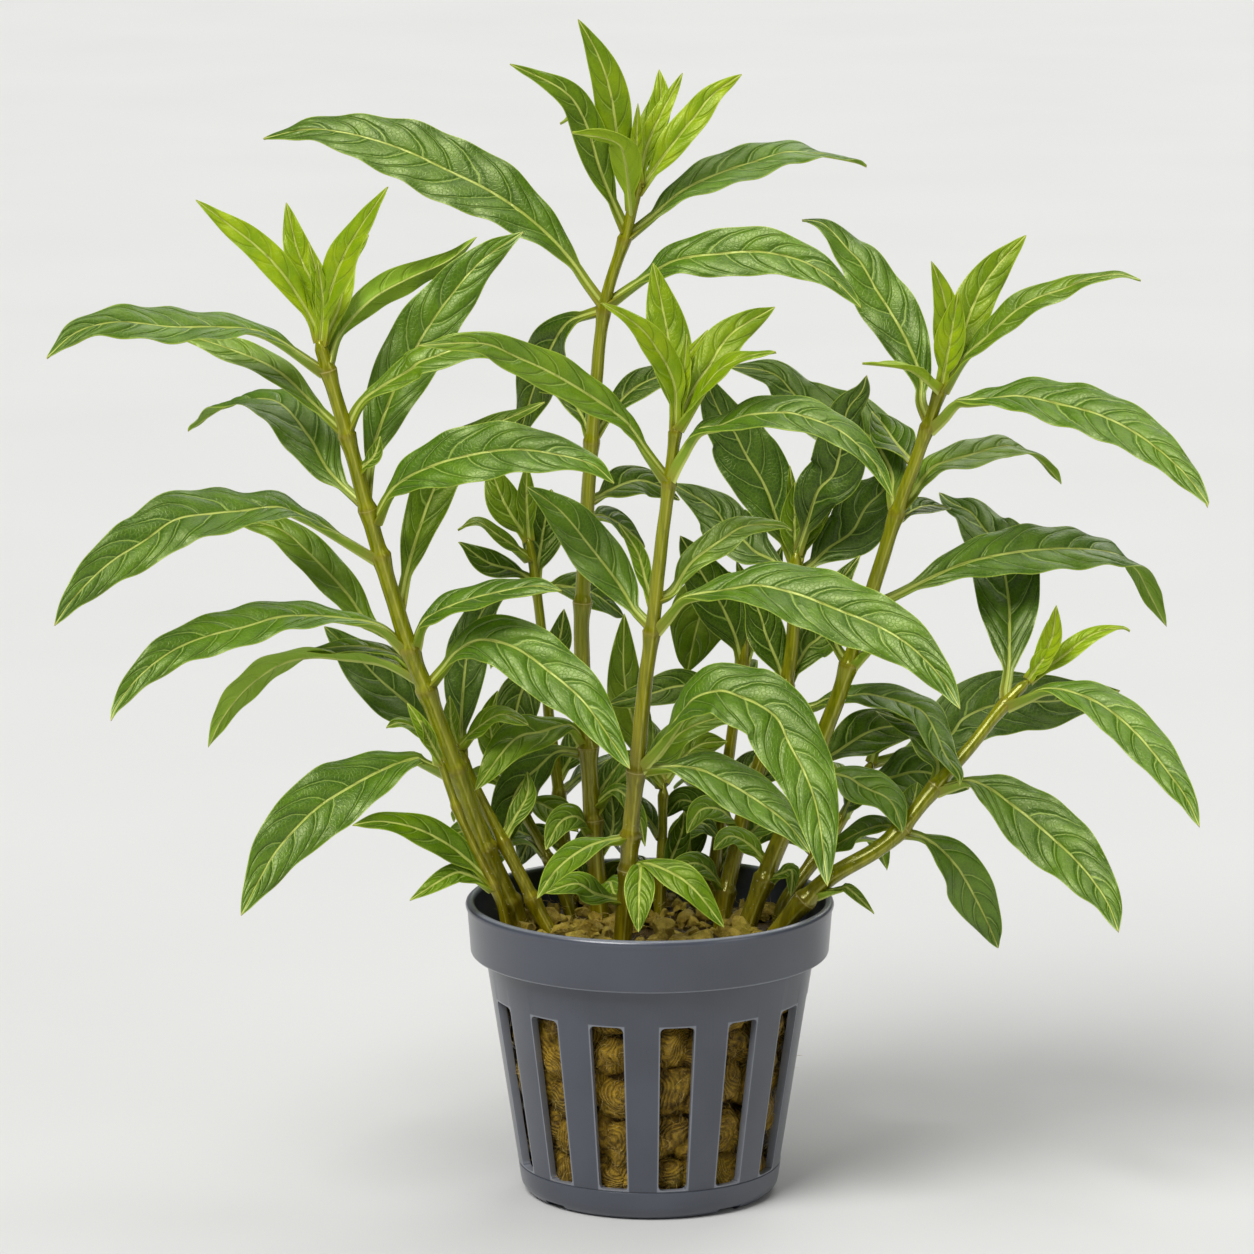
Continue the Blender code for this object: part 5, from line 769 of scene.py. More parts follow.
def add_leaves(look):
    """Every full-grown leaf, in its node's place; those far back or in shade get a darker green as painted
    shade.
    """
    for name, (stem, width, depths, turns, points) in LEAVES.items():
        tone_and_shade = rng.uniform(0.55, 1)
        young = 0.2 if width < NARROW_LEAF else 0.0
        # Painted shade: leaves far back or on shaded stems get a darker green.
        if stem in SHADED or depths[0] > BACK_DEPTH:
            tone_and_shade, young = tone_and_shade - 0.5, 0.0
        blade = add_blade(stem, width, depths, turns, points, LEAF_GRID, young, tone_and_shade)
        finish_piece(blade, name + "_blade", look, name)
        blade.data.set_sharp_from_angle(angle=math.radians(LEAF_SHARP_ANGLE))


def youth(stem, width, depths, points):
    """How fresh a small leaf looks: most at the open shoot tips, little low down and at the back."""
    if points[0][1] < STEMS[stem][3][-1][1] - TIP_REACH:
        return 0.12 if depths[0] < FRONT_DEPTH else 0.0
    if stem in SHADED:
        return 0.3
    return 0.5 if width > NARROW_BUD else BUD_YOUTH


def add_young_leaves(look):
    """The small leaves of each stem, as one piece."""
    for stem, rows in SMALL_LEAVES.items():
        blades = []
        for width, depths, turns, points in rows:
            grid = SMALL_GRID if width > SMALL_GRID_LEAF else SMALLEST_GRID
            # Painted shade: small leaves behind the front get a darker green than those in front.
            tone_and_shade = rng.uniform(0.4, 0.8) if depths[0] < FRONT_DEPTH else rng.uniform(0, 0.3)
            young = youth(stem, width, depths, points)
            blades.append(add_blade(stem, width, depths, turns, points, grid, young, tone_and_shade))
        leaves = finish_piece(joined(blades), stem + "_young_leaves", look)
        leaves.data.set_sharp_from_angle(angle=math.radians(LEAF_SHARP_ANGLE))


# Stems

def stem_profile(name, heights):
    """The stem's radius at each height, swollen below each node with a thin collar on it, and how near
    the closest node is: 1 on it, 0 far off."""
    radius = stem_radius(name, heights)
    nearness = np.zeros_like(heights)
    for node in STEMS[name][2]:
        above = heights - node
        spread = np.where(above < 0, 1.7, 0.7)
        radius = radius * (1 + NODE_SWELLING * np.exp(-(above / spread) ** 2))
        radius = radius * (1 + COLLAR_SWELLING * np.exp(-((above - 0.2) / 0.3) ** 2))
        nearness = np.maximum(nearness, np.exp(-np.abs(above) / 0.55))
    return radius, nearness


def add_stem(name, look):
    """A round stem with swollen, ringed nodes: a grid rolled up along the stem's line."""
    line = stem_line(name)
    rings = int(shares_of(line)[1] / RING_STEP)
    stem, across, along = add_grid(STEM_SIDES, rings)
    around = (across + 1) * np.pi
    place, way = along_line(line, along)
    heights = seen_height(place[:, 1], place[:, 2])
    radius, nearness = stem_profile(name, heights)
    # The phase turns one ridge towards the front, where its pale line serves partly as a painted highlight.
    ridge = np.cos(STEM_RIDGES * around + 0.6)
    radius = radius * (1 + RIDGE_HEIGHT * ridge) * np.clip((1 - along) * rings / 3, 0, 1) ** 0.5
    radius = radius * (1 + 0.02 * np.sin(heights * 0.9 + around))
    radius = np.where(along == 0, 0, radius)
    aside = unit(np.cross(way, np.array((0.0, 1.0, 0.0))))
    over = np.cross(aside, way)
    ring = aside * np.cos(around)[:, None] + over * np.sin(around)[:, None]
    set_positions(stem, place + ring * radius[:, None])
    brown = np.clip(1 - (heights - BROWN_START) / STEM_BROWN.get(name, OTHER_BROWN), 0, 1)
    store(stem, "bark", nearness, brown, ridge)
    close_seams(stem)
    finish_piece(stem, name + "_bark", look, name)


# Pot

def body_radius(height):
    """The radius of the pot's outside face at a height of its slotted body."""
    return FOOT_TOP + BODY_SLOPE * (height - FOOT_HEIGHT)


def lip_profile():
    """The half round of the lip, from inside to outside."""
    half = LIP / 2
    turns = [math.radians(degrees) for degrees in range(-120, 121, 30)]
    return [(RIM_RADIUS - half + half * math.sin(turn), RIM_HEIGHT - half + half * math.cos(turn))
            for turn in turns]


def pot_profile():
    """(radius, height) from the middle of the floor up the inside, over the lip and down the outside."""
    inside = [
        (BASE_RADIUS - 1, FLOOR), (BASE_RADIUS + 0.4, FLOOR + 0.3), (FOOT_TOP - WALL, FOOT_HEIGHT),
        (BODY_TOP - WALL, BAND_BOTTOM + 0.2), (BODY_TOP - WALL + 0.3, BAND_BOTTOM + 0.7),
        (BAND_RADIUS - WALL - 0.2, BAND_BOTTOM + 1.3), (BAND_RADIUS - WALL, BAND_BOTTOM + 1.8)]
    band = [
        (RIM_RADIUS - 0.3, RIM_HEIGHT - 1.6), (BAND_RADIUS + 0.06, BAND_BOTTOM + 0.45),
        (BAND_RADIUS - 0.03, BAND_BOTTOM + 0.2), (BAND_RADIUS - 0.2, BAND_BOTTOM + 0.04),
        (BAND_RADIUS - 0.45, BAND_BOTTOM), (BODY_TOP + 0.45, BAND_BOTTOM),
        (BODY_TOP + 0.12, BAND_BOTTOM - 0.15), (BODY_TOP, BAND_BOTTOM - 0.5)]
    step = [
        (body_radius(FOOT_HEIGHT + 1.2), FOOT_HEIGHT + 1.2), (FOOT_TOP + 0.02, FOOT_HEIGHT + 0.14),
        (FOOT_TOP - 0.15, FOOT_HEIGHT + 0.04), (FOOT_TOP - 0.15, FOOT_HEIGHT - 0.04),
        (FOOT_TOP - 0.02, FOOT_HEIGHT - 0.14)]
    foot = [
        (FOOT_RADIUS, 2.2), (FOOT_RADIUS - 0.2, 1.35), (FOOT_RADIUS - 0.65, 0.65),
        (BASE_RADIUS + 0.85, 0.18), (BASE_RADIUS + 0.2, 0.0), (BASE_RADIUS - 1.2, 0.0),
        (BASE_RADIUS - 1.7, 0.5), (BASE_RADIUS - 4, 0.5)]
    return inside + lip_profile() + band + step + foot


def turned(profile, sides):
    """A round shape drawn out ring by ring from a disc, and closed by a last disc."""
    start_piece()
    radius, height = profile[0]
    bpy.ops.mesh.primitive_circle_add(vertices=sides, radius=radius * MM, location=(0, 0, height * MM),
                                      fill_type="TRIFAN")
    piece = bpy.context.object
    bpy.ops.object.transform_apply(location=True)
    bpy.ops.object.mode_set(mode="EDIT")
    bpy.ops.mesh.select_all(action="SELECT")
    bpy.ops.mesh.region_to_loop()
    for (r0, z0), (r1, z1) in zip(profile, profile[1:]):
        bpy.ops.mesh.extrude_edges_move(TRANSFORM_OT_translate={"value": (0, 0, (z1 - z0) * MM)})
        bpy.ops.transform.resize(value=(r1 / r0, r1 / r0, 1), center_override=(0, 0, 0))
    bpy.ops.mesh.extrude_edges_move()
    bpy.ops.mesh.merge(type="CENTER")
    bpy.ops.object.mode_set(mode="OBJECT")
    close_seams(piece, 0.0005)
    return piece


def select(piece, kind, chosen):
    """Selects just the points (VERT) or edges (EDGE) that pass the test; ends in edit mode."""
    bpy.context.view_layer.objects.active = piece
    bpy.ops.object.mode_set(mode="EDIT")
    bpy.ops.mesh.select_mode(type=kind)
    bpy.ops.mesh.select_all(action="DESELECT")
    bpy.ops.object.mode_set(mode="OBJECT")
    for part in (piece.data.vertices if kind == "VERT" else piece.data.edges):
        part.select = chosen(part)
    bpy.ops.object.mode_set(mode="EDIT")


def box(low, high):
    """A cube primitive stretched between two corners."""
    start_piece()
    middle = [(a + b) / 2 * MM for a, b in zip(low, high)]
    bpy.ops.mesh.primitive_cube_add(size=1, location=middle)
    piece = bpy.context.object
    piece.scale = [(b - a) * MM for a, b in zip(low, high)]
    bpy.ops.object.transform_apply(location=True, rotation=True, scale=True)
    return piece


def slot_cutter():
    """A tapered block with rounded corners that cuts the slot at the very front."""
    outer, inner = SLOT_CUT
    cutter = box((-SLOT_FOOT_HALF, outer, SLOT_BOTTOM), (SLOT_FOOT_HALF, inner, SLOT_TOP))
    top_half = body_radius(SLOT_TOP) * SLOT_SPREAD + SLOT_PLAY

    def at_top(point):
        return point.co.z / MM > SLOT_TOP - 0.01

    def through_wall(edge):
        first, second = (cutter.data.vertices[k].co for k in edge.vertices)
        return abs(first.y - second.y) > 10 * MM

    select(cutter, "VERT", at_top)
    bpy.ops.transform.resize(value=(top_half / SLOT_FOOT_HALF, 1, 1), center_override=(0, 0, 0))
    select(cutter, "EDGE", through_wall)
    bpy.ops.mesh.bevel(offset=SLOT_CORNER * MM, segments=5)
    bpy.ops.object.mode_set(mode="OBJECT")
    return cutter


def turned_copies(piece, angles):
    """Copies of a piece, each with its own mesh, turned about the pot's axis."""
    copies = []
    for angle in angles:
        copy = piece.copy()
        copy.data = piece.data.copy()
        copy.data.transform(Matrix.Rotation(math.radians(angle), 4, "Z"))
        bpy.context.scene.collection.objects.link(copy)
        copies.append(copy)
    bpy.data.objects.remove(piece)
    return copies


def cut_away(piece, cutter):
    """Cuts the cutter out of the piece and removes it."""
    modify(piece, "Cut", "BOOLEAN", operation="DIFFERENCE", object=cutter)
    bpy.data.objects.remove(cutter)


def add_pot(look):
    """The net pot: a turned wall with a rounded lip, tapered slots and small notches in its foot."""
    pot = turned(pot_profile(), TURN_STEPS)
    slot_angles = [FIRST_SLOT + number * 360 / SLOTS for number in range(SLOTS)]
    outer, inner = NOTCH_CUT
    notch = box((-NOTCH_HALF_WIDTH, outer, -1), (NOTCH_HALF_WIDTH, inner, NOTCH_HEIGHT))
    cut_away(pot, joined(turned_copies(slot_cutter(), slot_angles)))
    cut_away(pot, joined(turned_copies(notch, FOOT_NOTCHES)))
    modify(pot, "Soft edges", "BEVEL", limit_method="ANGLE", angle_limit=math.radians(50),
           width=SOFT_EDGE * MM, segments=3)
    finish_piece(pot, "net_pot", look, "pot")
    pot.data.set_sharp_from_angle(angle=math.radians(POT_SHARP_ANGLE))


# Rock wool

def inner_radius(height):
    """The radius of the pot's inside face at a height of its slotted body."""
    return body_radius(height) - WALL


def wool_top(x, y):
    """Height of the wool's surface at a place inside the pot."""
    return WOOL_TOP + 0.5 * math.sin(x * 0.62 + y * 0.21 + 1.3) * math.cos(y * 0.55 - x * 0.17)


def add_plug(look):
    """The plug of wool that the lumps and chips lie on."""
    rim, top = inner_radius(BAND_BOTTOM) - 1.2, WOOL_TOP - 0.8
    profile = [(0.3, top)] + [(rim * step / 12, top) for step in range(1, 12)] + [(rim, top - 1)]
    profile += [(inner_radius(height) - 2.2, height) for height in np.linspace(BAND_BOTTOM + 0.5, 4, 24)]
    profile += [(FOOT_TOP * step / 5, FLOOR + 0.5) for step in (4, 2)]
    plug = turned(profile, PLUG_SIDES)
    texture = bpy.data.textures.new("wool_clumps", "VORONOI")
    texture.noise_scale = CLUMP_SIZE * MM
    modify(plug, "Clumps", "DISPLACE", texture=texture, strength=-1.6 * MM, mid_level=0.25)
    # The plug is the same wool as the lumps with lit set to 0.1, so it is painted dark: painted shade for the
    # deep gaps between the lumps.
    store(plug, "clump", 0.0, 0.1, 0.0)
    finish_piece(plug, "rock_wool_plug", look, "growing_medium")


def random_vector():
    """Three numbers that together point any way."""
    return np.array([rng.gauss(0, 1) for _ in range(3)])


def faceted_ball(detail, facets):
    """A ball, and its points with the sides pared flat here and there."""
    start_piece()
    bpy.ops.mesh.primitive_ico_sphere_add(subdivisions=detail, radius=1)
    ball = bpy.context.object
    shape = positions(ball)
    for _ in range(facets):
        way = unit(random_vector())
        over = np.maximum(shape @ way - rng.uniform(0.35, 0.7), 0)
        shape = shape - over[:, None] * way
    return ball, shape


def noise_at(shape, scale, shift):
    """Smooth noise at each point, from -1 to 1."""
    return np.array([noise.noise(Vector(point) * scale + Vector(shift)) for point in shape])


def rough(shape, scale, amount, seed):
    """The points pushed in and out by smooth noise."""
    push = noise_at(shape, scale, (seed * 7.3, 1.7, 4.1))
    return shape * (1 + amount * push)[:, None]


def turned_points(shape, lean, turn):
    """Points leant about X, then turned about Z."""
    c, s = math.cos(lean), math.sin(lean)
    shape = shape @ np.array(((1, 0, 0), (0, c, s), (0, -s, c)))
    c, s = math.cos(turn), math.sin(turn)
    return shape @ np.array(((c, s, 0), (-s, c, 0), (0, 0, 1)))


def ridges(shape, seed, count):
    """A number that grows by one from ridge to ridge of the threads wound round a piece of wool."""
    pole = unit(random_vector())
    push = noise_at(shape, 1.1, (seed, 9.2, 3.3))
    return (shape @ pole) * count + push * count * 0.7


def add_lump(angle, height, size, detail):
    """One rounded lump of matted wool against the inside of the pot's wall, its middle and its points."""
    seed = rng.uniform(0, 90)
    lump, shape = faceted_ball(detail, 0)
    wound = ridges(shape, seed, 5)
    for scale, amount in ((0.9, 0.3), (2.2, 0.12), (5.0, 0.04)):
        shape = rough(shape, scale, amount, seed)
    shape = shape * size * np.array([rng.uniform(0.9, 1.15), LUMP_DEPTH, rng.uniform(0.9, 1.1)])
    aside, inset = rng.uniform(-0.7, 0.7), rng.uniform(0, 0.5)
    middle = np.array((aside, size * LUMP_DEPTH - inner_radius(height) + inset, height))
    shape = turned_points(shape + middle, 0, angle)
    set_positions(lump, shape)
    store(lump, "clump", rng.random(), 1, wound)
    return lump, turned_points(middle[None], 0, angle)[0], shape


def add_lumps(look):
    """Columns of lumps behind every slot, and coarser ones behind the ribs between them."""
    lumps, in_slots = [], []
    for column in range(2 * SLOTS):
        angle = math.radians(FIRST_SLOT + column * 180 / SLOTS)
        height = FOOT_HEIGHT + rng.uniform(0.8, 2.4)
        behind_rib = column % 2
        while height < SLOT_TOP + 3:
            size = rng.uniform(*LUMP_SIZES)
            detail = RIB_LUMP_DETAIL if behind_rib else SLOT_LUMP_DETAIL
            lump, middle, shape = add_lump(angle, height, size, detail)
            lumps.append(lump)
            if not behind_rib:
                in_slots.append((middle, shape))
            height += size * rng.uniform(*LUMP_STEPS)
    finish_piece(joined(lumps), "rock_wool_lumps", look)
    return in_slots


# Where each stem comes out of the wool.
FEET = [stem_line(name)[FOOT_STEP].xy for name in STEMS]


def free_place(reach):
    """A place on the wool that keeps clear of the stems' feet."""
    while True:
        turn, radius = rng.uniform(0, math.tau), reach * math.sqrt(rng.random())
        x, y = radius * math.sin(turn), -radius * math.cos(turn)
        if all((Vector((x, y)) - foot).length > FOOT_CLEARANCE for foot in FEET):
            return x, y


def add_chip(number):
    """One torn, angular chip of wool; it lies lower where the wool rounds off towards the wall."""
    x, y = free_place(CHIP_REACH)
    size = rng.uniform(*(LARGE_CHIP_SIZES if number < LARGE_CHIPS else SMALL_CHIP_SIZES))
    chip, shape = faceted_ball(CHIP_DETAIL, CHIP_FACETS)
    shape = rough(shape, 2.0, 0.12, number)
    shape = shape * [size * rng.uniform(*stretch) for stretch in CHIP_STRETCHES]
    shape = turned_points(shape, rng.uniform(-0.9, 0.9), rng.uniform(0, math.tau))
    height = wool_top(x, y) + size * 0.25 - max(math.hypot(x, y) - 19.5, 0) * 0.5
    set_positions(chip, shape + np.array((x, y, height)))
    store(chip, "clump", rng.random(), 1, 0)
    return chip


def add_chips(look):
    """The chips that lie on the plug round the stems."""
    chips = [add_chip(number) for number in range(CHIPS)]
    pile = finish_piece(joined(chips), "rock_wool_chips", look)
    pile.data.set_sharp_from_angle(angle=math.radians(CHIP_SHARP_ANGLE))


def fibre(start, out, length, thick, curl):
    """The points of one fibre, ring by ring: a bent three-sided hair that thins towards its end."""
    side = unit(np.cross(out, np.array((0.31, 0.22, 0.93))))
    bend = unit(np.cross(out, side)) * curl
    points, way, place = [], out, start
    for ring in range(FIBRE_RINGS):
        width = thick * (1 - ring / 4.5)
        over = np.cross(way, side)
        for corner in range(FIBRE_SIDES):
            a = math.tau * corner / FIBRE_SIDES
            points.append(place + (side * math.cos(a) + over * math.sin(a)) * width)
        place = place + way * (length / 3)
        way = unit(way + bend + side * curl * 0.5)
    return points


def fibre_faces():
    """The faces between a fibre's points: its root, the bands between its rings, and its tip."""
    faces = [(0, 2, 1)]
    for ring in range(FIBRE_RINGS - 1):
        low, high = ring * FIBRE_SIDES, (ring + 1) * FIBRE_SIDES
        for corner in range(FIBRE_SIDES):
            after = (corner + 1) % FIBRE_SIDES
            faces.append((low + corner, low + after, high + after, high + corner))
    return [*faces, (high, high + 1, high + 2)]


def add_fibres(name, count, placing, look):
    """A felt of loose fibres, each a short bent hair that starts in the wool."""
    pattern = fibre_faces()
    points, faces, tones = [], [], []
    for _ in range(count):
        start, out = placing()
        faces += [tuple(len(points) + corner for corner in face) for face in pattern]
        points += fibre(start, out, rng.uniform(*FIBRE_LENGTHS), rng.uniform(*FIBRE_RADII),
                        rng.uniform(-0.9, 0.9))
        tones += [rng.random()] * (FIBRE_RINGS * FIBRE_SIDES)
    mesh = bpy.data.meshes.new(name)
    mesh.from_pydata((np.array(points) * MM).tolist(), [], faces)
    felt = bpy.data.objects.new(name, mesh)
    bpy.context.scene.collection.objects.link(felt)
    store(felt, "clump", tones, 1, 0)
    finish_piece(felt, name, look)


def on_a_lump(lumps):
    """A start on the outer side of a lump, and a way that lies mostly along its skin."""
    while True:
        middle, shape = lumps[rng.randrange(len(lumps))]
        place = shape[rng.randrange(len(shape))]
        normal = unit(place - middle)
        if normal @ unit(middle * (1, 1, 0)) > 0.1:
            break
    loose = random_vector()
    skin = unit(loose - normal * (loose @ normal))
    return place - normal * 0.05, unit(skin + normal * rng.uniform(-0.05, 0.45))


def on_top():
    """A start on the top of the wool, and a way that lies mostly level."""
    x, y = free_place(FIBRE_REACH)
    turn = rng.uniform(0, math.tau)
    way = unit(np.array((math.cos(turn), math.sin(turn), rng.uniform(-0.1, 0.7))))
    return np.array((x, y, wool_top(x, y) + rng.uniform(0.2, 1.4))), way


# Finishes

class Value:
    """A shader socket that sums can be written with; each one adds its Math nodes."""

    def __init__(self, finish, socket):
        self.finish = finish
        self.socket = socket

    def maths(self, operation, *values):
        return self.finish.node("ShaderNodeMath", {"operation": operation}, dict(enumerate(values)))

    def __add__(self, other):
        return self.maths("ADD", self, other)

    def __sub__(self, other):
        return self.maths("SUBTRACT", self, other)

    def __rsub__(self, other):
        return self.maths("SUBTRACT", other, self)

    def __mul__(self, other):
        return self.maths("MULTIPLY", self, other)

    def __truediv__(self, other):
        return self.maths("DIVIDE", self, other)

    def __pow__(self, other):
        return self.maths("POWER", self, other)

    def __abs__(self):
        return self.maths("ABSOLUTE", self)

    __radd__ = __add__
    __rmul__ = __mul__

    def fade(self, low, high):
        """0 where this is at low, 1 where it is at high, and smooth between them."""
        return self.finish.node("ShaderNodeMapRange", {"interpolation_type": "SMOOTHSTEP"},
                                {0: self, 1: low, 2: high, 3: 0.0, 4: 1.0})

    def fraction(self):
        """The part after the whole number."""
        return self.maths("FRACT", self)

    def at_most(self, other):
        return self.maths("MINIMUM", self, other)

    def at_least(self, other):
        return self.maths("MAXIMUM", self, other)


SOCKETS = {"base_color": "Base Color", "roughness": "Roughness", "normal": "Normal",
           "coat_weight": "Coat Weight", "specular": "Specular IOR Level", "specular_tint": "Specular Tint"}


class Finish:
    """A material's nodes, all added by one method."""

    def __init__(self, name):
        self.material = bpy.data.materials.new(name)
        self.material.use_nodes = True
        self.tree = self.material.node_tree
        self.shader = self.tree.nodes["Principled BSDF"]

    def node(self, kind, settings=None, inputs=None, out=0):
        """Adds a node with these settings and inputs, and gives one of its outputs."""
        made = self.tree.nodes.new(kind)
        for key, value in (settings or {}).items():
            setattr(made, key, value)
        for key, value in (inputs or {}).items():
            self.put(made.inputs[key], value)
        return Value(self, made.outputs[out])

    def put(self, socket, value):
        """Links a socket's value to a node's input, or sets the input to a number."""
        if isinstance(value, Value):
            self.tree.links.new(value.socket, socket)
        else:
            socket.default_value = value

    def mix(self, factor, first, second):
        """The first colour where the factor is 0, the second where it is 1."""
        return self.node("ShaderNodeMix", {"data_type": "RGBA"}, {0: factor, 6: first, 7: second}, 2)

    def coated(self, colour, *coats):
        """The colour with coats laid over it in turn, each given as how far it covers and its colour."""
        for cover, coat in coats:
            colour = self.mix(cover, colour, coat)
        return colour

    def parts(self, vector):
        """The three numbers of a vector."""
        return [self.node("ShaderNodeSeparateXYZ", inputs={0: vector}, out=k) for k in range(3)]

    def attribute(self, name):
        """The three numbers that the piece keeps under this name."""
        return self.parts(self.node("ShaderNodeAttribute", {"attribute_name": name}, out=1))

    def place(self, scale=(1, 1, 1)):
        """The place on the object in millimetres, times a scale."""
        found = self.node("ShaderNodeTexCoord", out=3)
        size = tuple(1000 * value for value in scale)
        return self.node("ShaderNodeVectorMath", {"operation": "MULTIPLY"}, {0: found, 1: size})

    def warped(self, scale, amount):
        """The place times a scale, pushed about by soft noise so that nothing runs straight."""
        push = self.node("ShaderNodeTexNoise", inputs={"Vector": self.place(), "Scale": 0.6}, out=1)
        pushed = self.node("ShaderNodeVectorMath", {"operation": "MULTIPLY"}, {0: push, 1: (amount,) * 3})
        return self.node("ShaderNodeVectorMath", {"operation": "ADD"}, {0: self.place(scale), 1: pushed})

    def noise(self, at, scale, detail=2.0, rough=0.5):
        """Clouded noise about 0.5, finer as its scale grows."""
        return self.node("ShaderNodeTexNoise", inputs={"Vector": at, "Scale": scale, "Detail": detail,
                                                       "Roughness": rough})

    def bump(self, height, strength, distance):
        """A surface raised by the height, times a distance in millimetres."""
        return self.node("ShaderNodeBump", inputs={"Height": height, "Strength": strength,
                                                   "Distance": distance * MM})

    def wear(self, **sockets):
        """Puts values and links on the shader's own sockets."""
        for name, value in sockets.items():
            self.put(self.shader.inputs[SOCKETS[name]], value)
        return self.material


def rgb(red, green, blue):
    """A colour as it looks on screen, 0 to 255, as linear light."""
    def linear(value):
        share = value / 255
        return share / 12.92 if share <= 0.04045 else ((share + 0.055) / 1.055) ** 2.4
    return (linear(red), linear(green), linear(blue), 1.0)


def leaf_greens(f, mottle, tone_and_shade, young, under):
    """The blade's greens: deep to mid above, with painted shade darkening leaves far back or in shade,
    yellow-green at the shoot tips, and paler below, partly as painted light that stands in for light shining
    through.
    """
    old = f.coated(f.mix(tone_and_shade, rgb(26, 58, 0), rgb(62, 99, 0)),
                   (mottle.fade(0.4, 0.65) * (tone_and_shade * 0.6 + 0.15), rgb(88, 125, 0)))
    fresh = f.mix(mottle.fade(0.3, 0.7), rgb(118, 150, 0), rgb(160, 182, 0))
    # Painted light: the undersides are made brighter and yellower than their own paler green, standing in for
    # light shining through the leaf.
    lower = f.mix(young, f.mix(mottle, rgb(106, 146, 14), rgb(128, 162, 26)), rgb(156, 186, 30))
    return f.mix(under, f.mix(young, old, fresh), lower)


def leaf_marks(f, place, blade, make, kind):
    """Side veins, their grooves, midrib, margin, the fine net and the swells that take a painted sheen: each
    1 on it, 0 off it.
    """
    (across, along, half), (vein, gap, _), (under, young, _) = blade, make, kind
    out = abs(across)
    turn = vein + (f.noise(place, 0.5) - 0.5) * 0.16
    to_vein = abs((turn + 0.5).fraction() - 0.5)
    blade_part = along.fade(0.1, 0.2) * along.fade(0.98, 0.9)
    side_vein = (to_vein * gap).fade(0.19, 0.04) * blade_part * out.fade(0.95, 0.75) * (1.0 - young * 0.5)
    groove = (to_vein * gap).fade(0.9, 0.1) * blade_part * out.fade(0.97, 0.8)
    midrib = (out * half / (0.37 - along * 0.25)).fade(1.0, 0.5)
    margin = ((1.0 - out) * half).fade(0.17, 0.04) * along.fade(0.05, 0.14)
    net = f.node("ShaderNodeTexVoronoi", {"feature": "DISTANCE_TO_EDGE"}, {"Vector": place, "Scale": 1.7})
    # The swells between the side veins on the upper face, where a pale sheen is painted.
    swell_sheen = to_vein.fade(0.08, 0.5) * blade_part * out.fade(1.0, 0.7) * (1.0 - under)
    return side_vein, groove, midrib, margin, net.fade(0.12, 0.0) * blade_part, swell_sheen


def leaf_look(name, specular, tone):
    """Satin veined upper faces, matte undersides that are paler and partly painted brighter for light shining
    through, and fine yellow margins.
    """
    f = Finish(name)
    blade, make, kind = f.attribute("blade"), f.attribute("make"), f.attribute("kind")
    along, tone_and_shade, (under, young, _) = blade[1], make[2], kind
    place = f.place()
    side_vein, groove, midrib, margin, net, swell_sheen = leaf_marks(f, place, blade, make, kind)
    mottle = f.noise(place, 0.16, 4.0, 0.6)
    fine = f.noise(place, 3.0)
    pale_stalk = along.fade(0.22, 0.0) * (0.8 - under * 0.3)
    # Painted shade: the grooves beside the side veins are darkened on the upper face of grown leaves.
    groove_shade = groove * 0.2 * (1.0 - under) * (1.0 - young)
    # The pale coat on the swells between the side veins is a painted sheen.
    colour = f.coated(
        leaf_greens(f, mottle, tone_and_shade, young, under),
        (pale_stalk, rgb(140, 150, 30)), (along.fade(0.08, 0.0) * 0.5, rgb(140, 120, 40)),
        (swell_sheen * 0.1, rgb(124, 158, 6)), (groove_shade, rgb(24, 62, 0)), (net * 0.18, rgb(128, 168, 14)),
        (side_vein * (0.58 - under * 0.3), rgb(166, 190, 84)), (midrib * 0.85, rgb(190, 200, 100)),
        (margin * 0.6, rgb(172, 192, 64)), (along.fade(0.985, 1.0) * 0.4, rgb(150, 120, 60)))
    relief = midrib * -0.5 + groove * -0.8 + side_vein * 0.25 + net * -0.1 + fine * 0.12 + mottle * 0.3
    roughness = 0.3 + fine * 0.12 + under * 0.18 + mottle * 0.06
    return f.wear(base_color=colour, roughness=roughness, normal=f.bump(relief, 0.7, 0.25),
                  specular=specular, specular_tint=tone)


def stem_look():
    """Smooth olive skin with fine stripes, browner towards the foot, and pale rings at the nodes."""
    f = Finish("stem")
    node, brown, ridge = f.attribute("bark")
    place = f.place()
    _, _, height = f.parts(place)
    stripes = f.noise(f.place((1, 1, 0.06)), 1.3, 3.0, 0.6)
    patches = f.noise(f.place((1, 1, 0.4)), 0.22, 3.0)
    fine = f.noise(place, 4.0)
    specks = f.noise(place, 1.9, 1.0).fade(0.72, 0.77) * height.fade(66, 48)
    green = f.mix(stripes.fade(0.35, 0.65), rgb(108, 114, 2), rgb(138, 140, 8))
    russet = f.mix(stripes.fade(0.35, 0.65), rgb(90, 72, 0), rgb(126, 108, 8))
    colour = f.coated(
        f.mix((brown * 0.8 + patches.fade(0.55, 0.85) * 0.2).at_most(1.0), green, russet),
        # Painted shade darkens the grooves between the ridges; the pale lines on the ridges are partly the
        # stem's own paler ridges and partly a painted highlight streak.
        (ridge.fade(-0.5, -1.0) * 0.3, rgb(70, 74, 0)),
        (ridge.fade(0.55, 1.0) * stripes.fade(0.25, 0.6) * 0.5, rgb(186, 182, 84)),
        (node.fade(0.2, 0.7) * 0.4, rgb(112, 96, 26)), (node.fade(0.84, 0.96) * 0.5, rgb(190, 176, 110)),
        (specks * 0.7, rgb(206, 198, 160)))
    relief = stripes * 0.12 + fine * 0.03 + node * 0.25 + specks * 0.4
    return f.wear(base_color=colour, roughness=0.16 + fine * 0.08, normal=f.bump(relief, 0.35, 0.15),
                  specular=0.9, specular_tint=(1.0, 0.98, 0.4, 1.0))


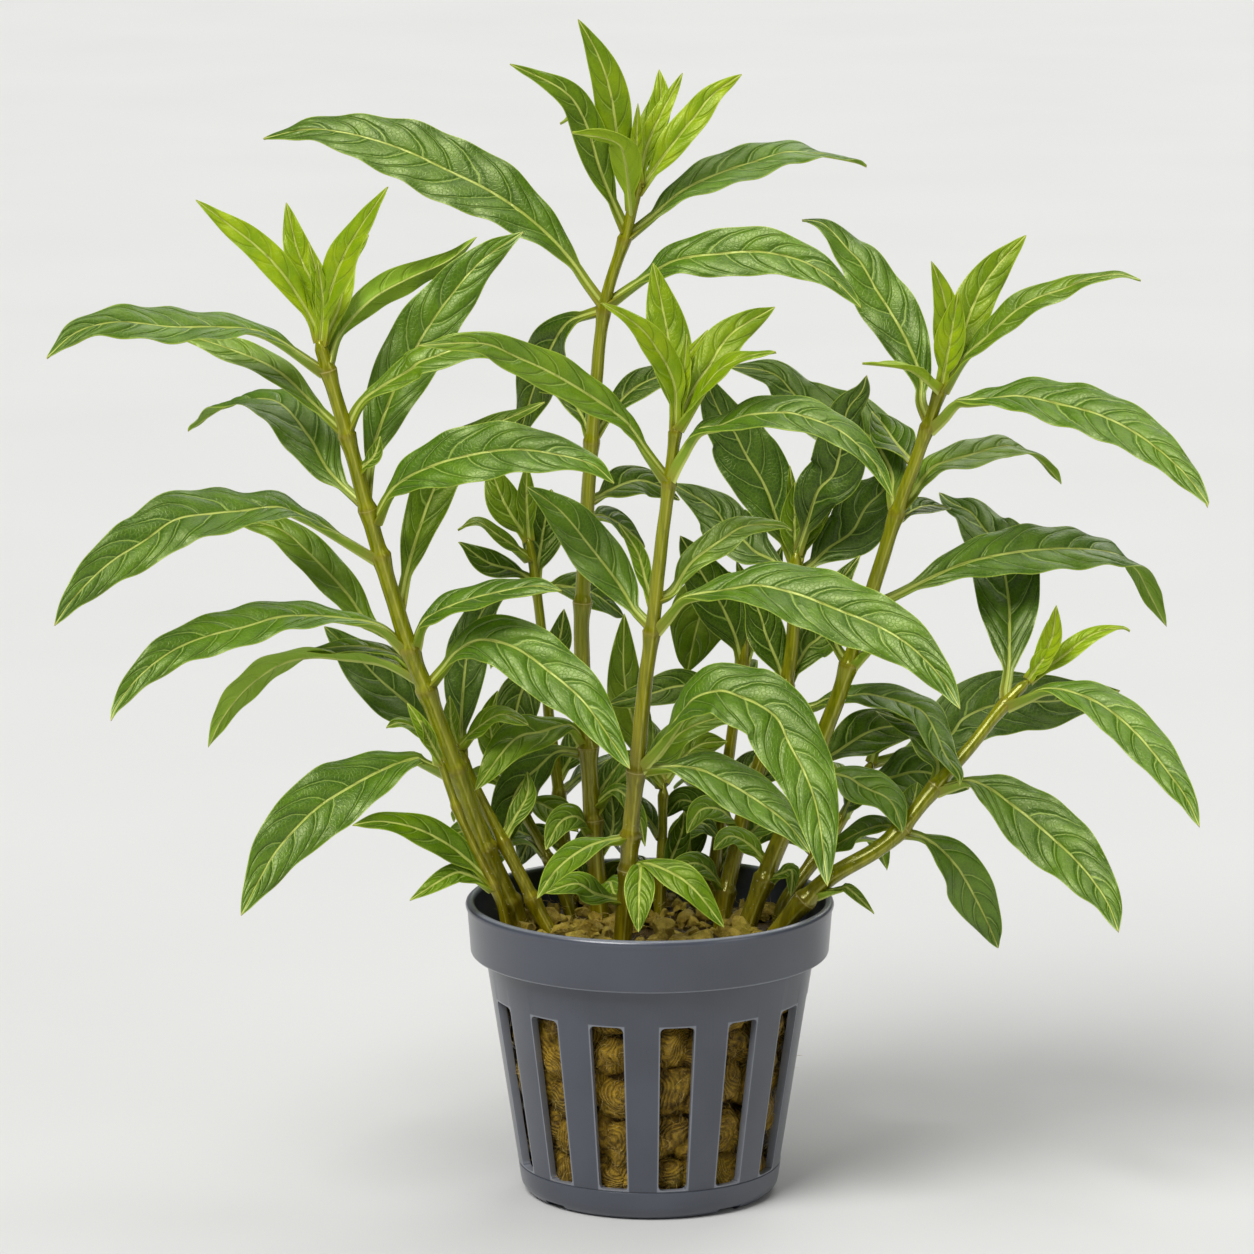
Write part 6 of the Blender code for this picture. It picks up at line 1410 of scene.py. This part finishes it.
def pot_edge_highlights(f, place):
    """Where the painted edge highlights go: 1 on the rounded edges of the lip, the band and the slots, 0 away
    from them.
    """
    x, y, z = f.parts(place)
    radius = (x * x + y * y) ** 0.5
    turns = x.maths("ARCTAN2", x, 0.0 - y) / math.tau * SLOTS - FIRST_SLOT / 360 * SLOTS + 0.5
    aside = abs(radius * ((turns.fraction() - 0.5) * (math.tau / SLOTS)))
    half = (z - SLOT_BOTTOM) * (BODY_SLOPE * SLOT_SPREAD) + SLOT_FOOT_HALF
    upright = abs(z - (SLOT_BOTTOM + SLOT_TOP) / 2) - (SLOT_TOP - SLOT_BOTTOM) / 2
    to_slot = abs((aside - half).at_least(upright))
    slot = to_slot.fade(0.3, 0.1) * radius.fade(BODY_TOP + 0.2, BODY_TOP)
    lip = z.fade(RIM_HEIGHT - 0.35, RIM_HEIGHT - 0.1)
    band = (z.fade(BAND_BOTTOM + 0.35, BAND_BOTTOM + 0.15)
            * radius.fade(BAND_RADIUS - 0.6, BAND_RADIUS - 0.3))
    return slot.at_least(lip).at_least(band)


def pot_look():
    """Blue-grey satin plastic with a fine moulded grain; the edges of its lip, band and slots carry pale
    painted highlights.
    """
    f = Finish("pot_plastic")
    place = f.place()
    cloud = f.noise(place, 0.09, 3.0)
    grain = f.noise(place, 9.0)
    scuff_and_glint = f.noise(f.place((1, 1, 0.25)), 1.4, 5.0, 0.7)
    colour = f.mix(cloud.fade(0.3, 0.7), rgb(60, 64, 74), rgb(67, 71, 82))
    # Painted highlights: the rounded edges of the lip, band and slots are lightened as if catching the light,
    # varied along their length by noise.
    edge = pot_edge_highlights(f, place) * 0.6 * (0.75 + scuff_and_glint * 0.5)
    colour = f.mix(edge.at_most(1.0), colour, rgb(142, 146, 154))
    roughness = 0.24 + grain * 0.06 + scuff_and_glint * 0.04
    return f.wear(base_color=colour, roughness=roughness, normal=f.bump(grain, 0.12, 0.04),
                  specular=0.7, coat_weight=0.1)


def wool_look(name, dark, light, green):
    """Damp golden-brown felt, with painted shade where its threads part and on pieces whose lit value is low,
    and greener where algae have taken.
    """
    f = Finish(name)
    tone, lit, wound = f.attribute("clump")
    place = f.place()
    felt = 0.0
    for scale in ((2.4, 2.4, 0.5), (0.5, 2.4, 2.4), (2.4, 0.5, 2.4)):
        strand = 1.0 - abs(f.noise(f.warped(scale, 1.2), 1.0, 3.0) - 0.5) * 7.0
        felt = strand.at_least(felt)
    ridge = abs((wound + f.noise(place, 1.4) * 0.7).fraction() - 0.5) * 2.0
    felt = felt * 0.5 + ridge.fade(0.1, 0.8) * 0.6
    fine = f.noise(place, 7.0, 3.0, 0.7)
    spots = f.noise(place, 0.3, 3.0, 0.6)
    clouds = f.noise(place, 0.7, 3.0, 0.6)
    # Painted shade: the colour darkens where the felt's threads part and where lit is low; tone and clouds
    # are the wool's own variation.
    shade = felt * 0.26 + tone * 0.2 + clouds * 0.9 - 0.42
    colour = f.coated(dark, (shade.fade(0.0, 0.8) * lit, light), (spots.fade(0.5, 0.75) * 0.4, green))
    return f.wear(base_color=colour, roughness=0.32 + fine * 0.2,
                  normal=f.bump(felt + fine * 0.12, 0.9, 0.4),
                  specular=0.6, specular_tint=(1.0, 0.85, 0.5, 1.0))


def floor_look():
    """Pale matte card, faintly clouded."""
    f = Finish("floor")
    cloud = f.noise(f.place(), 0.01)
    colour = f.mix(cloud, rgb(202, 202, 200), rgb(208, 208, 206))
    return f.wear(base_color=colour, roughness=0.8)


# Scene

def add_floor():
    """A wide pale floor under the pot."""
    start_piece()
    bpy.ops.mesh.primitive_plane_add(size=FLOOR_SIZE)
    floor = bpy.context.object
    floor.name = "floor"
    floor.data.materials.append(floor_look())


def add_light(name, place, spread, strength):
    """A wide soft light from far off in this direction, so that the floor is lit evenly."""
    bpy.ops.object.light_add(type="SUN", location=place)
    light = bpy.context.object
    light.name = name
    light.data.angle = math.radians(spread)
    light.data.energy = strength
    light.rotation_euler = (LIT_POINT - Vector(place)).to_track_quat("-Z", "Y").to_euler()


def add_camera():
    """The camera at the photo's own place and angle."""
    bpy.ops.object.camera_add(location=EYE * MM)
    camera = bpy.context.object
    camera.rotation_euler = (AIM - EYE).to_track_quat("-Z", "Y").to_euler()
    camera.data.sensor_width = SENSOR
    camera.data.lens = SENSOR / 2 / math.tan(math.radians(VIEW_ANGLE / 2))
    camera.data.clip_start = 0.01
    bpy.context.scene.camera = camera


def add_studio():
    """The floor, the soft lights, a faint even light from all round, and the camera."""
    add_floor()
    for name, (place, spread, strength) in LIGHTS.items():
        add_light(name, place, spread, strength)
    world = bpy.data.worlds.new("studio")
    world.use_nodes = True
    sky = world.node_tree.nodes["Background"].inputs
    sky["Color"].default_value = (1, 1, 1, 1)
    sky["Strength"].default_value = SKY_STRENGTH
    bpy.context.scene.world = world
    bpy.context.scene.view_settings.view_transform = "Standard"
    add_camera()


def main():
    """Every piece, in an order that keeps the random draws the same, then the studio."""
    stem = stem_look()
    add_leaves(leaf_look("leaf", 0.86, (0.9, 1.0, 0.5, 1.0)))
    add_young_leaves(leaf_look("young_leaf", 0.62, (1.0, 1.0, 0.4, 1.0)))
    for name in STEMS:
        add_stem(name, stem)
    add_pot(pot_look())
    wool = wool_look("wool", dark=rgb(58, 38, 0), light=rgb(190, 152, 44), green=rgb(104, 96, 10))
    torn = wool_look("wool_chips", dark=rgb(120, 98, 16), light=rgb(222, 196, 84), green=rgb(150, 144, 36))
    # The loose fibres are coloured much paler than the lumps, partly as a painted highlight for the light
    # that catches fine hairs.
    hair = wool_look("wool_fibres", dark=rgb(166, 134, 52), light=rgb(246, 222, 150), green=rgb(200, 182, 96))
    add_plug(wool)
    lumps = add_lumps(wool)
    add_chips(torn)
    add_fibres("wool_fibres_in_slots", FIBRES_IN_SLOTS, lambda: on_a_lump(lumps), hair)
    add_fibres("wool_fibres_on_top", FIBRES_ON_TOP, on_top, hair)
    add_studio()


main()
